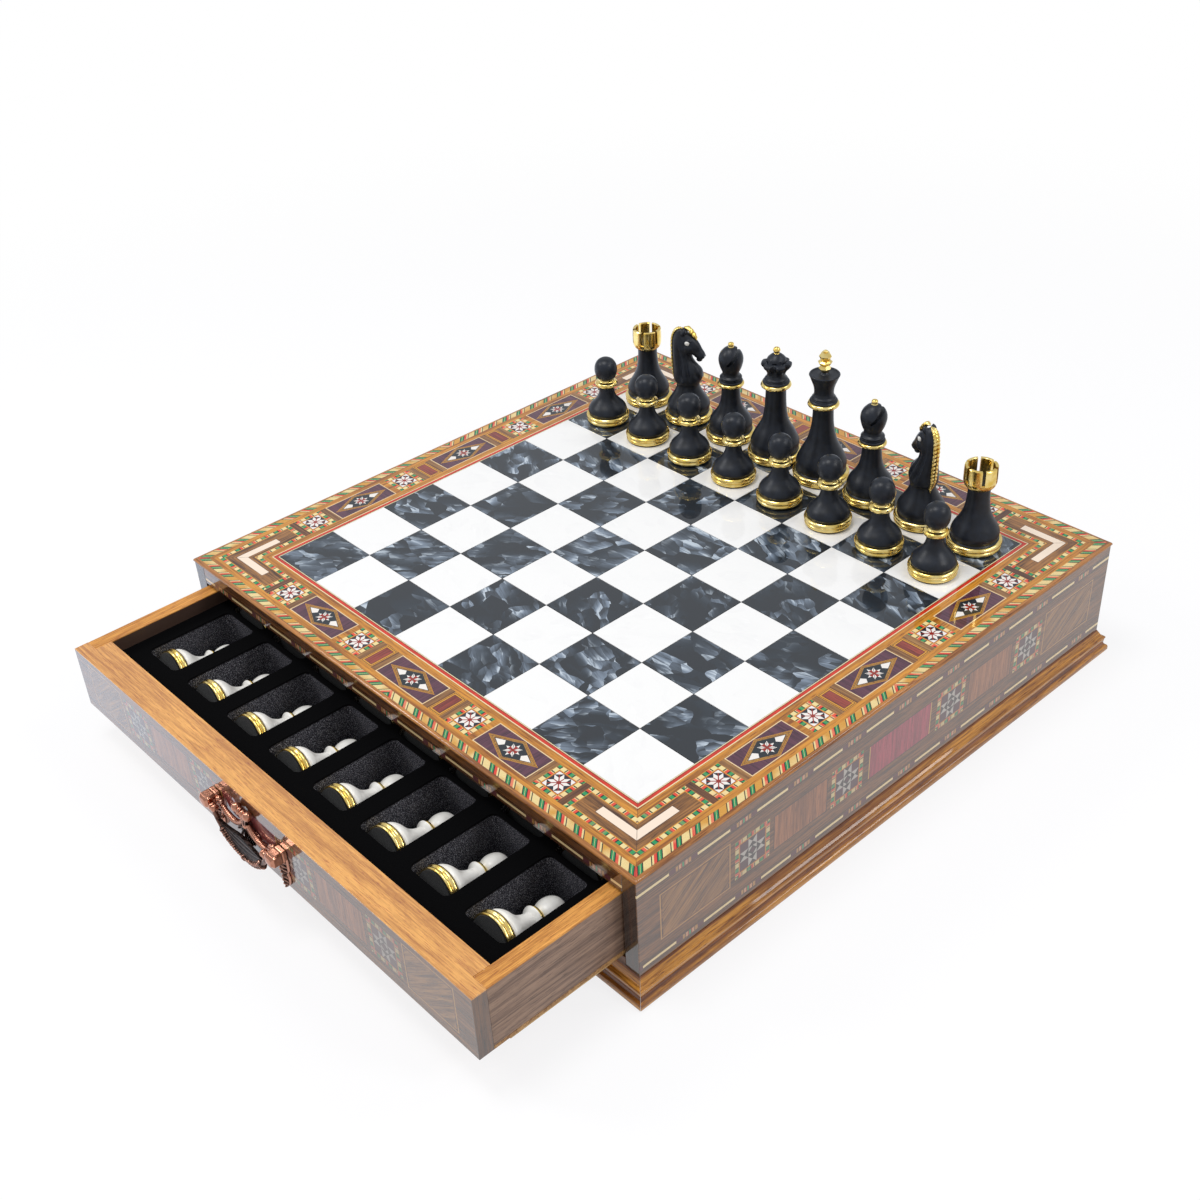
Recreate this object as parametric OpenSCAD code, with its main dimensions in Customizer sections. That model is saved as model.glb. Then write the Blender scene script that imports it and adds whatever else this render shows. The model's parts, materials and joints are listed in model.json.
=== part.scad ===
// Chess box: a square veneered case on a moulded plinth, a chessboard on its
// top, and two drawers that slide out of opposite sides. The black men stand on
// the board, and the white men lie in the front drawer.
// Origin: centre of the underside. +Z is up and the front drawer faces -Y.

/* [Board] */
// Side of one square of the chessboard
square = 40; // [37:0.5:46]
// Width of the stringing round the squares
line_w = 3.3; // [1.5:0.1:5]
// Width of the plain band inside the tiles
inner_band_w = 4.5; // [2:0.1:8]
// Width of the band that holds the tiles
tile_w = 19.4; // [16:0.1:21]
// Width of the plain band outside the tiles
outer_band_w = 4.2; // [2:0.1:8]
// Width of the rope inlay
rope_w = 4.6; // [2:0.1:7]
// Width of the bare edge of the top board
edge_w = 2.6; // [2:0.1:5]
// Width of the dark line between two squares
square_gap = 0.4; // [0.2:0.1:1]
// Thickness of the veneers let into the top board
veneer_t = 1; // [0.6:0.1:1.2]
// Length of one leg of a corner inlay, from the outer corner of its band
corner_leg = 52; // [44:0.5:56]
// Length of a lozenge panel
lozenge_len = 43; // [36:0.5:45]
// Length of a red tile
red_len = 10.3; // [6:0.1:12]
// Middle of a lozenge panel that is not the central one
lozenge_at = 85.5; // [84:0.5:87]
// Middle of a red tile
red_at = 31; // [29:0.5:32]
// Middle of the inner star tiles
inner_star_at = 50.2; // [49:0.1:51]
// Middle of the outer star tiles
outer_star_at = 121.2; // [120:0.1:122]

/* [Case] */
// Height of the base moulding
moulding_h = 16; // [12:0.5:22]
// How far the moulding stands out from the case
moulding_out = 6; // [3:0.5:10]
// Width of the moulding's flat back under the case
moulding_back = 12; // [8:0.5:20]
// Thickness of the board that closes the underside
base_board_t = 3; // [2:0.5:8]
// Thickness of the floor that the drawers slide on
floor_t = 6; // [4:0.5:10]
// Thickness of the side panels and rails
wall = 10; // [8:0.5:14]
// Height of the rails over the drawers
top_rail_h = 12.2; // [11:0.2:18]
// Thickness of the top board's lip, which covers the walls
lip_t = 1.8; // [1.4:0.1:3]
// How far the lip stands out from the walls
lip_out = 0.6; // [0:0.1:1.5]
// Thickness of the top board inside the walls
top_board_t = 10; // [6:0.5:12]
// Thickness of the divider between the drawers
divider_t = 5; // [3:0.5:8]

/* [Drawers] */
// How far the front drawer stands open
front_open = 90.5; // [0:0.5:140]
// Gap between a drawer and the side panel
side_gap = 1; // [0.5:0.1:2]
// Gap at the mitres of the moulding
mitre_gap = 0.1; // [0.05:0.05:0.5]
// Gap over a drawer
top_gap = 1.5; // [1:0.1:3]
// Gap between a drawer's back and the divider
back_gap = 1.5; // [1:0.1:4]
// Thickness of the front board
front_t = 19; // [14:0.5:22]
// Thickness of the front board's lip, in front of the side boards
front_lip_t = 8.7; // [5:0.1:12]
// Thickness of the side boards
side_t = 9.8; // [7:0.1:12]
// Thickness of the back board
back_t = 6; // [4:0.5:8]
// Thickness of the bottom panel
bottom_t = 2; // [1.5:0.1:4]
// Height of a glide under a side board
glide_h = 2.2; // [1.5:0.1:4]
// Width of a glide
glide_w = 8; // [4:0.5:9]
// Running clearance under a glide
glide_gap = 0.3; // [0.1:0.1:0.5]

/* [Trays] */
// Depth of the pockets
pocket_depth = 27.8; // [22:0.2:30]
// Thickness of the tray under the pockets
tray_floor_t = 2; // [1:0.1:4]
// Clearance between a man and its pocket, across
pocket_side_gap = 0.6; // [0.3:0.1:1.2]
// Spare length of a pawn's pocket
pawn_spare = 8.4; // [4:0.1:12]
// Spare length of an officer's pocket
officer_spare = 2; // [2:0.1:3]
// Radius of a pocket's upright corners
pocket_r = 4; // [1:0.5:6]
// Height of the drawer above the widest man in its pocket
men_headroom = 0.2; // [0:0.1:2]
// Bare margin of the tray beside the rows
tray_margin = 5.2; // [3:0.1:8]
// Clearance between the tray and the drawer
tray_gap = 0.2; // [0.1:0.1:0.4]
// Gap between a lying man's foot and the end of its pocket
end_gap = 0.2; // [0.1:0.1:1]
// Clearance between a lying man and the pocket's floor
lying_gap = 0.3; // [0.1:0.1:0.5]

/* [Men] */
// Diameter of a pawn's base
pawn_d = 29.8; // [26:0.2:32]
// Height of a pawn
pawn_h = 47; // [42:0.5:50]
// Diameter of a rook's base
rook_d = 33.4; // [30:0.2:36]
// Height of a rook
rook_h = 55.5; // [50:0.5:62]
// Diameter of a knight's base
knight_d = 33; // [30:0.2:36]
// Height of a knight
knight_h = 70; // [63:0.5:76]
// Diameter of a bishop's base
bishop_d = 33.8; // [30:0.2:36]
// Height of a bishop
bishop_h = 70; // [63:0.5:77]
// Diameter of a queen's base
queen_d = 36; // [32:0.2:38]
// Height of a queen
queen_h = 79.5; // [72:0.5:86]
// Diameter of a king's base
king_d = 36.8; // [33:0.2:38.4]
// Height of a king
king_h = 90; // [82:0.5:94]
// Thickness of the felt under each man
felt_t = 0.8; // [0.5:0.1:1.2]
// Width of the slots in the rook's crown
crenel_w = 1.8; // [1.2:0.1:2.4]
// Width of the saw cut in the bishop's mitre
mitre_cut_w = 2.6; // [1.6:0.1:3]
// Diameter of the bites out of the rim of the queen's crown
scallop_d = 4; // [3:0.1:5]
// Height at which those bites start
scallop_z = 62; // [60:0.5:64]
// Height of those bites
scallop_h = 8; // [6:0.5:9]

/* [Pull] */
// Distance between the two posts of a pull
pull_pitch = 64; // [52:1:76]
// How far a pull sits to the right of its drawer's middle
pull_shift = 0; // [-14:0.5:14]
// Height of the pivot under the drawer's top edge
pivot_drop = 17.5; // [16:0.1:20]
// How far the pivot stands out from the drawer's face
pivot_out = 6.8; // [6.5:0.1:9]
// Width of a post's head
post_w = 7.4; // [6.5:0.1:12]
// Height of a post's head
post_h = 6.8; // [6:0.1:9]
// How far a post's head reaches above the pivot
post_rise = 4.4; // [4:0.1:5]
// Metal of a post beyond its pivot
post_cap = 3; // [2.5:0.1:6]
// Bevel round the front of a post's head
post_bevel = 1.2; // [0.6:0.1:2]
// Thickness of the leaf plate behind a post
leaf_t = 1.6; // [1:0.1:3]
// Length of the leaf under a post, from the pivot's height
leaf_drop = 22; // [16:0.5:23]
// Radius of the two beads that crown the pull
bead_r = 2.8; // [2:0.1:2.9]
// Height of those beads over the pivot
bead_rise = 10.3; // [9:0.1:12]
// Distance from each of those beads to the middle
bead_at = 4.9; // [4:0.1:6]
// How far those beads stand out from the drawer's face, to their middle
bead_out = 2.9; // [2.9:0.1:3.2]
// Diameter of the fixed rods between the posts
swag_d = 3.4; // [2.5:0.1:3.8]
// How far those rods stand out from the drawer's face, to their middle
swag_out = 2.3; // [2.3:0.1:2.6]
// Radius of the arcs that those rods hang in
swag_r = 14; // [12:0.5:16]
// Diameter of the bail's pivot pins
pin_d = 2.4; // [2:0.1:2.6]
// Radial clearance of the pivot pins
pin_gap = 0.1; // [0.05:0.01:0.1]
// How far a pin reaches into its post
pin_in = 3; // [2:0.1:4]
// Gap between the bail and the posts' cheeks
cheek_gap = 0.4; // [0.2:0.1:1]
// How far the bail hangs under its pivot, to the middle of its bar
bail_drop = 19; // [16:0.5:20]
// Thickness of the bail's curved bar
bail_bar_d = 3.8; // [3:0.1:4.2]
// Length of the collars that the bail's pins stand on
bail_eye = 4; // [3:0.1:5]
// Thickness of the bail's plate
shell_t = 1.8; // [1:0.1:3]
// Thread diameter of the screws that hold the posts
screw_d = 4; // [3:0.1:5]
// Diameter of a screw's head
screw_head_d = 8; // [6:0.1:10]
// Thickness of a screw's head
screw_head_t = 2.4; // [1.5:0.1:3]
// How far a screw reaches into its post
screw_in = 4; // [3:0.5:4]

/* [Hidden] */
files = 8;
eps = 0.01;
$fn = 64;

// Board, worked out from the squares outwards
field = files * square / 2;
line_out = field + line_w;
tile_in = line_out + inner_band_w;
tile_out = tile_in + tile_w;
rope_in = tile_out + outer_band_w;
rope_out = rope_in + rope_w;
lip_half = rope_out + edge_w;
case_half = lip_half - lip_out;
// The tiles keep their places along a band that grows with the squares
run = field / 160;

// Heights, worked out from the ground upwards
widest = max(king_d, queen_d, bishop_d, knight_d, rook_d);
tallest = max(king_h, queen_h, bishop_h, knight_h, rook_h);
drawer_h = bottom_t + tray_floor_t + widest + men_headroom;
floor_z = moulding_h + floor_t;
drawer_z = floor_z + glide_gap + glide_h;
opening_z = drawer_z + drawer_h + top_gap;
lip_z = opening_z + top_rail_h;
board_z = lip_z + lip_t;
veneer_z = board_z - veneer_t;

// Drawer, drawn closed with its face on y = -case_half
inner_half = case_half - wall;
drawer_half = inner_half - side_gap;
drawer_front = -case_half;
drawer_back = -divider_t / 2 - back_gap;
tray_half = drawer_half - side_t - tray_gap;
tray_front = drawer_front + front_t + tray_gap;
tray_back = drawer_back - back_t - tray_gap;
tray_z = drawer_z + bottom_t;
pocket_z = tray_z + tray_floor_t;
tray_top = pocket_z + pocket_depth;
pitch = 2 * (tray_half - tray_margin) / files;
pawn_pocket = pawn_h + pawn_spare;
officer_pocket = tallest + officer_spare;
tray_slack = tray_back - tray_front - pawn_pocket - officer_pocket;
pawn_y = tray_front + 0.74 * tray_slack;
officer_y = pawn_y + pawn_pocket + 0.15 * tray_slack;

// Pull
pivot_z = drawer_z + drawer_h - pivot_drop;
pivot_y = drawer_front - pivot_out;
post_z = pivot_z + post_rise - post_h / 2;
post_out = pivot_out + post_cap;
post_x = pull_pitch / 2;
screw_bore_d = screw_d + 0.4;
thread_play = 0.1;
cheek_x = post_x - post_w / 2;
bail_half = cheek_x - cheek_gap;
swag_end = cheek_x - swag_d / 2 - 0.2;
swag_hub = 2.6;
swag_x = (swag_end + swag_hub) / 2;
swag_half = asin((swag_end - swag_hub) / 2 / swag_r);
swag_z = 2.2;

OFFICERS = ["rook", "knight", "bishop", "queen", "king", "bishop", "knight", "rook"];
SIDES = ["_left", "_left", "_left", "", "", "_right", "_right", "_right"];
TURN = [-18, 25, 47, 0, 0, 47, 160, 0];
BLACK_OFFICERS = [for (i = [0:files - 1]) str("black_", OFFICERS[i], SIDES[i])];
BLACK_PAWNS = [for (i = [1:files]) str("black_pawn_", i)];
CASE_NODES = [
    "base_moulding", "base_board", "floor_panel", "left_side", "right_side",
    "front_rail", "back_rail", "centre_divider", "top_board", "border_veneer",
    "rope_inlay", "line_inlay", "light_squares", "dark_squares", "corner_inlays",
    "lozenge_panels", "star_tiles", "red_tiles"
];
DRAWER_PARTS = [
    "face", "left_board", "right_board", "back_board", "bottom_panel", "tray",
    "glides", "pull_posts", "pull_screws", "pull_bail"
];
WHITE_NODES = [
    "white_pawns", "white_rooks", "white_knights", "white_bishops", "white_queen",
    "white_king"
];

walnut = "#6e4327";
honey = "#c88a45";
mahogany = "#8a4a22";
copper = "#a8583c";

// ---------------------------------------------------------------- helpers

// A box between two opposite corners
module span(a, b) {
    translate(a) cube(b - a);
}

// The four turns of something that repeats on each side of the square
module each_side() {
    for (turn = [0:90:270]) rotate([0, 0, turn]) children();
}

// A square ring between two half widths
module square_ring(inner, outer, z, t) {
    difference() {
        span([-outer, -outer, z], [outer, outer, z + t]);
        span([-inner, -inner, z - t], [inner, inner, z + 2 * t]);
    }
}

// A point on the smooth curve through p1 and p2, with neighbours p0 and p3
function curve_point(p0, p1, p2, p3, t) =
    (2 * p1 + (p2 - p0) * t + (2 * p0 - 5 * p1 + 4 * p2 - p3) * t * t
     + (3 * p1 - p0 - 3 * p2 + p3) * t * t * t) / 2;

// A smooth curve through a list of points, with some steps between them
function smooth(pts, steps = 3) = let (last = len(pts) - 1) concat(
    [for (i = [0:last - 1], s = [0:steps - 1])
        curve_point(pts[max(i - 1, 0)], pts[i], pts[i + 1], pts[min(i + 2, last)],
                    s / steps)],
    [pts[last]]);

// Points on a round arc
function arc(c, r, from, to, steps) =
    [for (i = [0:steps]) let (a = from + (to - from) * i / steps)
        c + r * [cos(a), sin(a)]];

// ------------------------------------------------------------------- case

// The moulding's section: [distance from the case wall, height]
function moulding_section() = let (o = moulding_out / 6, h = moulding_h / 16) concat(
    [[-moulding_back, 0], [5.4 * o, 0], [6 * o, 1.2 * h]],
    smooth([[6 * o, 3 * h], [5.6 * o, 4.2 * h], [4.9 * o, 4.7 * h], [4.1 * o, 5.4 * h],
            [3.7 * o, 6.8 * h], [3.9 * o, 8.2 * h]]),
    arc([3.2 * o, 10.1 * h], 1.2 * min(o, h), -50, 90, 5),
    [[2 * o, 12 * h], [2 * o, 12.5 * h], [0.8 * o, 14.7 * h], [0, moulding_h],
     [-moulding_back, moulding_h]]);

module base_moulding() {
    far = case_half + moulding_out;
    near = case_half - moulding_back;
    color(mahogany) each_side() intersection() {
        translate([case_half, far, 0]) rotate([90, 0, 0])
            linear_extrude(2 * far) polygon(moulding_section());
        linear_extrude(moulding_h)
            polygon([[near, mitre_gap - near], [far, mitre_gap - far],
                     [far, far - mitre_gap], [near, near - mitre_gap]]);
    }
}

module base_board() {
    h = case_half - moulding_back;
    color("#20261f") span([-h, -h, 0], [h, h, base_board_t]);
}

module floor_panel() {
    color(walnut)
        span([-inner_half, -case_half, moulding_h], [inner_half, case_half, floor_z]);
}

module side_panel() {
    color(walnut) span([inner_half, -case_half, moulding_h], [case_half, case_half, lip_z]);
}

module rail() {
    color(walnut) span([-inner_half, -case_half, opening_z],
                       [inner_half, wall - case_half, lip_z]);
}

module centre_divider() {
    color(walnut) span([-inner_half, -divider_t / 2, floor_z],
                       [inner_half, divider_t / 2, lip_z - top_board_t]);
}

// One direction of the top board's lip, with both long edges rounded over
module lip_prism() {
    r = lip_t - 0.2;
    rotate([90, 0, 0]) translate([0, 0, -lip_half]) linear_extrude(2 * lip_half)
        polygon(concat(
            [[-lip_half, lip_z], [lip_half, lip_z]],
            arc([lip_half - r, board_z - r], r, 0, 90, 5),
            arc([r - lip_half, board_z - r], r, 90, 180, 5)));
}

module top_board() {
    color(mahogany) difference() {
        union() {
            intersection() {
                lip_prism();
                rotate([0, 0, 90]) lip_prism();
            }
            span([-inner_half, -inner_half, lip_z - top_board_t],
                 [inner_half, inner_half, lip_z + eps]);
        }
        span([-rope_out, -rope_out, veneer_z], [rope_out, rope_out, board_z + 1]);
    }
}

// A tile across the band on the +X side, with its middle at y
module tile(y, length) {
    span([tile_in, y * run - length / 2, veneer_z], [tile_out, y * run + length / 2, board_z]);
}

module lozenge_tiles() {
    for (y = [-lozenge_at, 0, lozenge_at]) tile(y, lozenge_len);
}

module star_set() {
    for (y = [-outer_star_at, -inner_star_at, inner_star_at, outer_star_at]) tile(y, tile_w);
}

module red_set() {
    for (y = [-red_at, red_at]) tile(y, red_len);
}

module corner_tile() {
    leg = tile_out - corner_leg;
    span([tile_in, leg, veneer_z], [tile_out, tile_out, board_z]);
    span([leg, tile_in, veneer_z], [tile_out, tile_out, board_z]);
}

module border_veneer() {
    color(honey) difference() {
        square_ring(line_out, rope_in, veneer_z, veneer_t);
        each_side() {
            lozenge_tiles();
            star_set();
            red_set();
            corner_tile();
        }
    }
}

module rope_inlay() {
    color("#c9a15a") square_ring(rope_in, rope_out, veneer_z, veneer_t);
}

module line_inlay() {
    color("#b3241c") square_ring(field, line_out, veneer_z, veneer_t);
}

// The squares of one colour: 0 for the near left corner's, 1 for the other
module squares(colour) {
    for (i = [0:files - 1], j = [0:files - 1])
        if ((i + j) % 2 == colour)
            translate([i * square - field, j * square - field, veneer_z])
                span([square_gap / 2, square_gap / 2, 0],
                     [square - square_gap / 2, square - square_gap / 2, veneer_t]);
}

module light_squares() {
    color("#f4f3ef") squares(1);
}

module dark_squares() {
    color("#2b2e35") squares(0);
}

module corner_inlays() {
    color("#8c5a32") each_side() corner_tile();
}

module lozenge_panels() {
    color("#4b2436") each_side() lozenge_tiles();
}

module star_tiles() {
    color("#e8e0cf") each_side() star_set();
}

module red_tiles() {
    color("#8d3020") each_side() red_set();
}

// ---------------------------------------------------------------- drawers

// A drawer in its place: the front one stands open, the back one is shut
module front_place() {
    translate([0, -front_open, 0]) children();
}

module back_place() {
    rotate([0, 0, 180]) children();
}

module face() {
    top = drawer_z + drawer_h;
    color(walnut) difference() {
        span([-drawer_half, drawer_front, drawer_z],
             [drawer_half, drawer_front + front_t, top]);
        for (side = [-1, 1]) {
            inner = side * (drawer_half - side_t);
            outer = side * (drawer_half + 1);
            span([min(inner, outer), drawer_front + front_lip_t, drawer_z - 1],
                 [max(inner, outer), drawer_front + front_t + 1, top + 1]);
        }
        span([-drawer_half - 1, drawer_front + front_lip_t, drawer_z - 1],
             [drawer_half + 1, drawer_front + front_t + 1, tray_z]);
        at_posts() rotate([90, 0, 0]) {
            translate([0, 0, -front_t - 1]) cylinder(d = screw_bore_d, h = front_t + 2);
            translate([0, 0, -front_t - 1])
                cylinder(d = screw_head_d + 0.6, h = screw_head_t + 1.2);
        }
    }
}

module side_board(side) {
    inner = side * (drawer_half - side_t);
    outer = side * drawer_half;
    color(honey) span([min(inner, outer), drawer_front + front_lip_t, tray_z],
                      [max(inner, outer), drawer_back, drawer_z + drawer_h]);
}

module back_board() {
    h = drawer_half - side_t;
    color(honey) span([-h, drawer_back - back_t, tray_z],
                      [h, drawer_back, drawer_z + drawer_h]);
}

module bottom_panel() {
    color(honey) span([-drawer_half, drawer_front + front_lip_t, drawer_z],
                      [drawer_half, drawer_back, tray_z]);
}

module glides() {
    x = drawer_half - side_t / 2;
    color("#d8b27a") for (side = [-1, 1])
        span([side * x - glide_w / 2, drawer_front + front_t, drawer_z - glide_h],
             [side * x + glide_w / 2, drawer_back - back_t, drawer_z]);
}

// The middle of each pocket of a row, counted from the left
function pocket_x(i) = (i - (files - 1) / 2) * pitch;

// A pocket with round upright corners, from its front end
module pocket(width, length) {
    translate([0, 0, pocket_z]) linear_extrude(pocket_depth + 1) union() {
        for (x = [-1, 1], y = [pocket_r, length - pocket_r])
            translate([x * (width / 2 - pocket_r), y]) circle(r = pocket_r);
        translate([-width / 2, pocket_r]) square([width, length - 2 * pocket_r]);
        translate([pocket_r - width / 2, 0]) square([width - 2 * pocket_r, length]);
    }
}

module tray() {
    gap = pocket_side_gap;
    color("#141416") difference() {
        span([-tray_half, tray_front, tray_z], [tray_half, tray_back, tray_top]);
        for (i = [0:files - 1]) {
            translate([pocket_x(i), pawn_y, 0]) pocket(pawn_d + gap, pawn_pocket);
            translate([pocket_x(i), officer_y, 0])
                pocket(man_d(OFFICERS[i]) + gap, officer_pocket);
        }
    }
}

// ------------------------------------------------------------------- pull

// The two posts' places on a drawer's face, at the middle of their heads
module at_posts() {
    for (side = [-1, 1])
        translate([pull_shift + side * post_x, drawer_front, post_z]) children();
}

// A leaf of two lobes, drawn downwards from behind the post's head
module leaf_outline() {
    w = post_w / 2 + 0.4;
    d = leaf_drop + post_z - pivot_z;
    half = smooth([
        [0, 2.6], [0.7 * w, 2.2], [w, -0.1 * d], [w, -0.3 * d], [0.9 * w, -0.46 * d],
        [0.5 * w, -0.56 * d], [0.76 * w, -0.68 * d], [0.66 * w, -0.84 * d], [0, -d]], 2);
    polygon(concat(half, [for (i = [len(half) - 2:-1:1]) [-half[i][0], half[i][1]]]));
}

// A post's head, square to the face, with its front bevelled all round
module post_head() {
    w = post_w / 2;
    h = post_h / 2;
    intersection() {
        span([-w, -post_out, -h], [w, eps - leaf_t, h]);
        rotate([90, 0, 90]) linear_extrude(post_w, center = true)
            polygon([[1, -h], [post_bevel - post_out, -h], [-post_out, post_bevel - h],
                     [-post_out, h - post_bevel], [post_bevel - post_out, h], [1, h]]);
        linear_extrude(post_h, center = true)
            polygon([[-w, 1], [-w, post_bevel - post_out], [post_bevel - w, -post_out],
                     [w - post_bevel, -post_out], [w, post_bevel - post_out], [w, 1]]);
    }
}

module round_bead(r) {
    rotate_extrude() polygon([for (t = [-90:10:90]) [r * cos(t), r * sin(t)]]);
}

// The fixed crest between the posts: beads beside them and over the middle, two
// rods hung in arcs, and a fan below the middle
module pull_crest() {
    rise = bead_rise;
    translate([pull_shift, drawer_front - swag_out, pivot_z]) {
        for (side = [-1, 1]) {
            translate([side * bead_at, swag_out - bead_out, rise]) round_bead(bead_r);
            translate([side * swag_end, 0, swag_z]) {
                round_bead(swag_d / 2 + 0.3);
                rotate([0, side * 90, 0]) cylinder(d = swag_d - 0.4, h = cheek_x - swag_end + 0.4);
            }
            translate([side * swag_x, 0, swag_z + swag_r * cos(swag_half)]) rotate([90, 0, 0])
                rotate([0, 0, 270 - swag_half]) rotate_extrude(angle = 2 * swag_half)
                    translate([swag_r, 0]) circle(d = swag_d, $fn = 24);
        }
        round_bead(swag_d / 2 + 0.3);
        rotate([90, 0, 0]) translate([0, 0, -shell_t / 2]) linear_extrude(shell_t)
            polygon([[-bead_at, rise], [0, rise + 1], [bead_at, rise], [2.8, 3],
                     [8, -1], [10, -5], [8, -9.5], [0, -12], [-8, -9.5], [-10, -5], [-8, -1],
                     [-2.8, 3]]);
    }
}

module pull_posts() {
    color(copper) difference() {
        union() {
            at_posts() {
                rotate([90, 0, 0]) linear_extrude(leaf_t) leaf_outline();
                post_head();
            }
            pull_crest();
        }
        at_posts() {
            // Blind hole for the screw, from the face side
            rotate([90, 0, 0]) translate([0, 0, -1])
                cylinder(d = screw_d + thread_play, h = screw_in + 1);
        }
        // Blind bores for the pins, from the inner cheeks
        for (side = [-1, 1])
            translate([pull_shift + side * (cheek_x + pin_in + 0.3), pivot_y, pivot_z])
                rotate([0, -side * 90, 0]) cylinder(d = pin_d + 2 * pin_gap, h = pin_in + 1);
    }
}

module pull_screws() {
    color("silver") at_posts() rotate([90, 0, 0]) {
        translate([0, 0, -front_t + 0.2]) cylinder(d = screw_head_d, h = screw_head_t);
        translate([0, 0, screw_head_t - front_t + 0.1])
            cylinder(d = screw_d, h = front_t + screw_in - screw_head_t - 0.4);
    }
}

// The curved bar: a round bar bent on an arc from cheek to cheek
module bail_bar() {
    chord = bail_half - bail_bar_d / 2;
    r = (chord * chord + bail_drop * bail_drop) / (2 * bail_drop);
    half = 2 * atan2(bail_drop, chord);
    translate([0, 0, r - bail_drop]) rotate([90, 0, 0]) rotate([0, 0, 270 - half])
        rotate_extrude(angle = 2 * half, $fn = 96)
            translate([r, 0]) circle(d = bail_bar_d, $fn = 24);
}

module pull_bail() {
    d = bail_drop;
    color(copper) translate([pull_shift, pivot_y, pivot_z]) {
        bail_bar();
        // Plate inside the bar
        rotate([90, 0, 0]) translate([0, 0, -shell_t / 2]) linear_extrude(shell_t)
            polygon([[-21, 0.46 - 0.53 * d], [-10, -0.4 * d], [0, -0.37 * d], [10, -0.4 * d],
                     [21, 0.46 - 0.53 * d], [14, 2.8 - d], [7, 0.6 - d], [0, -d],
                     [-7, 0.6 - d], [-14, 2.8 - d]]);
        for (side = [-1, 1]) rotate([0, side * 90, 0]) {
            translate([0, 0, bail_half - bail_eye]) cylinder(d = bail_bar_d + 0.6, h = bail_eye);
            translate([0, 0, bail_half - 1]) cylinder(d = pin_d, h = cheek_gap + pin_in + 1);
        }
    }
}

// -------------------------------------------------------------------- men

// The moulded foot that every man stands on: [radius, height]. Its widest
// ring ends at FOOT_TOP.
FOOT_TOP = 5.2;
function foot(r, k) = [
    [0, felt_t], [r - 0.9, felt_t], [r - 0.3, 1.5 * k], [r - 0.5, 3.2 * k],
    [r, 3.8 * k], [r, FOOT_TOP * k], [r - 0.8, 6.2 * k], [r - 2.0, 6.4 * k]];

// Each kind of man: name, its own size, the size it was drawn at, the points of
// its smooth body, and the sharp corners of its head, all [radius, height]
MEN = [
    ["pawn", pawn_d, pawn_h, 29.8, 47, [
        [12.9, 7.0], [13.5, 8.4], [12.9, 10.4], [11.6, 12.4], [8.9, 15.2], [6.6, 18.2],
        [5.3, 22], [5.1, 25.6], [7.0, 27.2], [7.7, 28.4], [7.2, 29.6], [4.9, 31.6],
        [6.4, 34.8], [7.7, 38.0], [7.7, 40.8], [6.2, 44.2], [3.4, 46.5], [0, 47]], []],
    ["rook", rook_d, rook_h, 33.4, 55.5, [
        [14.0, 7.4], [14.6, 10.2], [14.2, 12.4], [12.8, 15.4], [10.1, 20], [8.1, 25],
        [7.2, 30], [6.7, 36], [6.7, 40.6], [8.4, 42.2], [9.7, 44], [9.9, 50]],
        [[9.8, 55.5], [7.8, 55.5], [7.8, 45.4], [0, 45.4]]],
    ["knight", knight_d, knight_h, 33, 70, [
        [14.0, 7.4], [14.8, 10.8], [14.2, 13.4], [12, 17], [9.6, 21], [8, 25],
        [7.8, 28], [8.6, 30.4]], [[0, 30.4]]],
    ["bishop", bishop_d, bishop_h, 33.8, 70, [
        [14.2, 7.4], [14.7, 10.8], [14.2, 13.2], [12.9, 16], [10, 20], [7.6, 25],
        [6.6, 30], [6.1, 36], [6.1, 38.8], [8.9, 39.6], [8.9, 41.2], [7.3, 42.2],
        [6.3, 43.8], [7.3, 45.4], [5.9, 46.8], [5.7, 48.8], [7.2, 52.4], [8.3, 57.6],
        [7.4, 62], [4.6, 65.4], [2, 66.6], [1.9, 67.6], [1.7, 69.2], [0, 70]], []],
    ["queen", queen_d, queen_h, 36, 79.5, [
        [15.6, 7.6], [16.2, 11.4], [15.4, 14.6], [12.9, 20], [10, 25], [8.2, 30],
        [7.1, 38], [6.7, 48], [6.8, 51.4], [9.9, 52.4], [9.9, 54.2], [8.1, 55],
        [8.0, 56.4], [6.4, 58], [5.9, 61], [7.4, 64], [9.7, 66.6], [9.9, 68.2],
        [7, 69.4], [5.9, 71.6], [3.4, 74], [1.8, 75], [2.2, 77.2], [1.4, 79],
        [0, 79.5]], []],
    ["king", king_d, king_h, 36.8, 90, [
        [15.8, 7.8], [16.4, 11.6], [15.8, 14.6], [13.4, 20], [10.8, 25], [8.9, 30],
        [7.1, 39], [6.6, 49], [6.8, 51.6], [10, 52.6], [10, 54.6], [8.2, 55.4],
        [8.1, 57], [6.5, 58.6], [6.2, 61], [6.7, 65.4], [8.5, 70], [9.7, 73],
        [9.5, 74], [3.2, 74.4], [2.4, 76], [4, 77.6], [2.6, 79.8], [4.7, 81.6],
        [4.5, 82.8], [2.4, 83.4], [4, 85.8], [2.8, 88.2], [0, 90]], []]
];

function man(name) = [for (m = MEN) if (m[0] == name) m][0];
function man_d(name) = man(name)[1];
function man_h(name) = man(name)[2];
// How much wider and higher a man is than it was drawn
function grow_d(name) = man_d(name) / man(name)[3];
function grow_h(name) = man_h(name) / man(name)[4];

// The whole outline of a turned man
function outline(name) = let (m = man(name)) concat(
    foot(m[1] / 2, grow_h(name)),
    [for (p = concat(smooth(m[5], 2), m[6])) [p[0] * grow_d(name), p[1] * grow_h(name)]]);

module turned(name) {
    rotate_extrude() polygon(outline(name));
    cylinder(r = man_d(name) / 2 - 1.4, h = felt_t);
}

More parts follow.
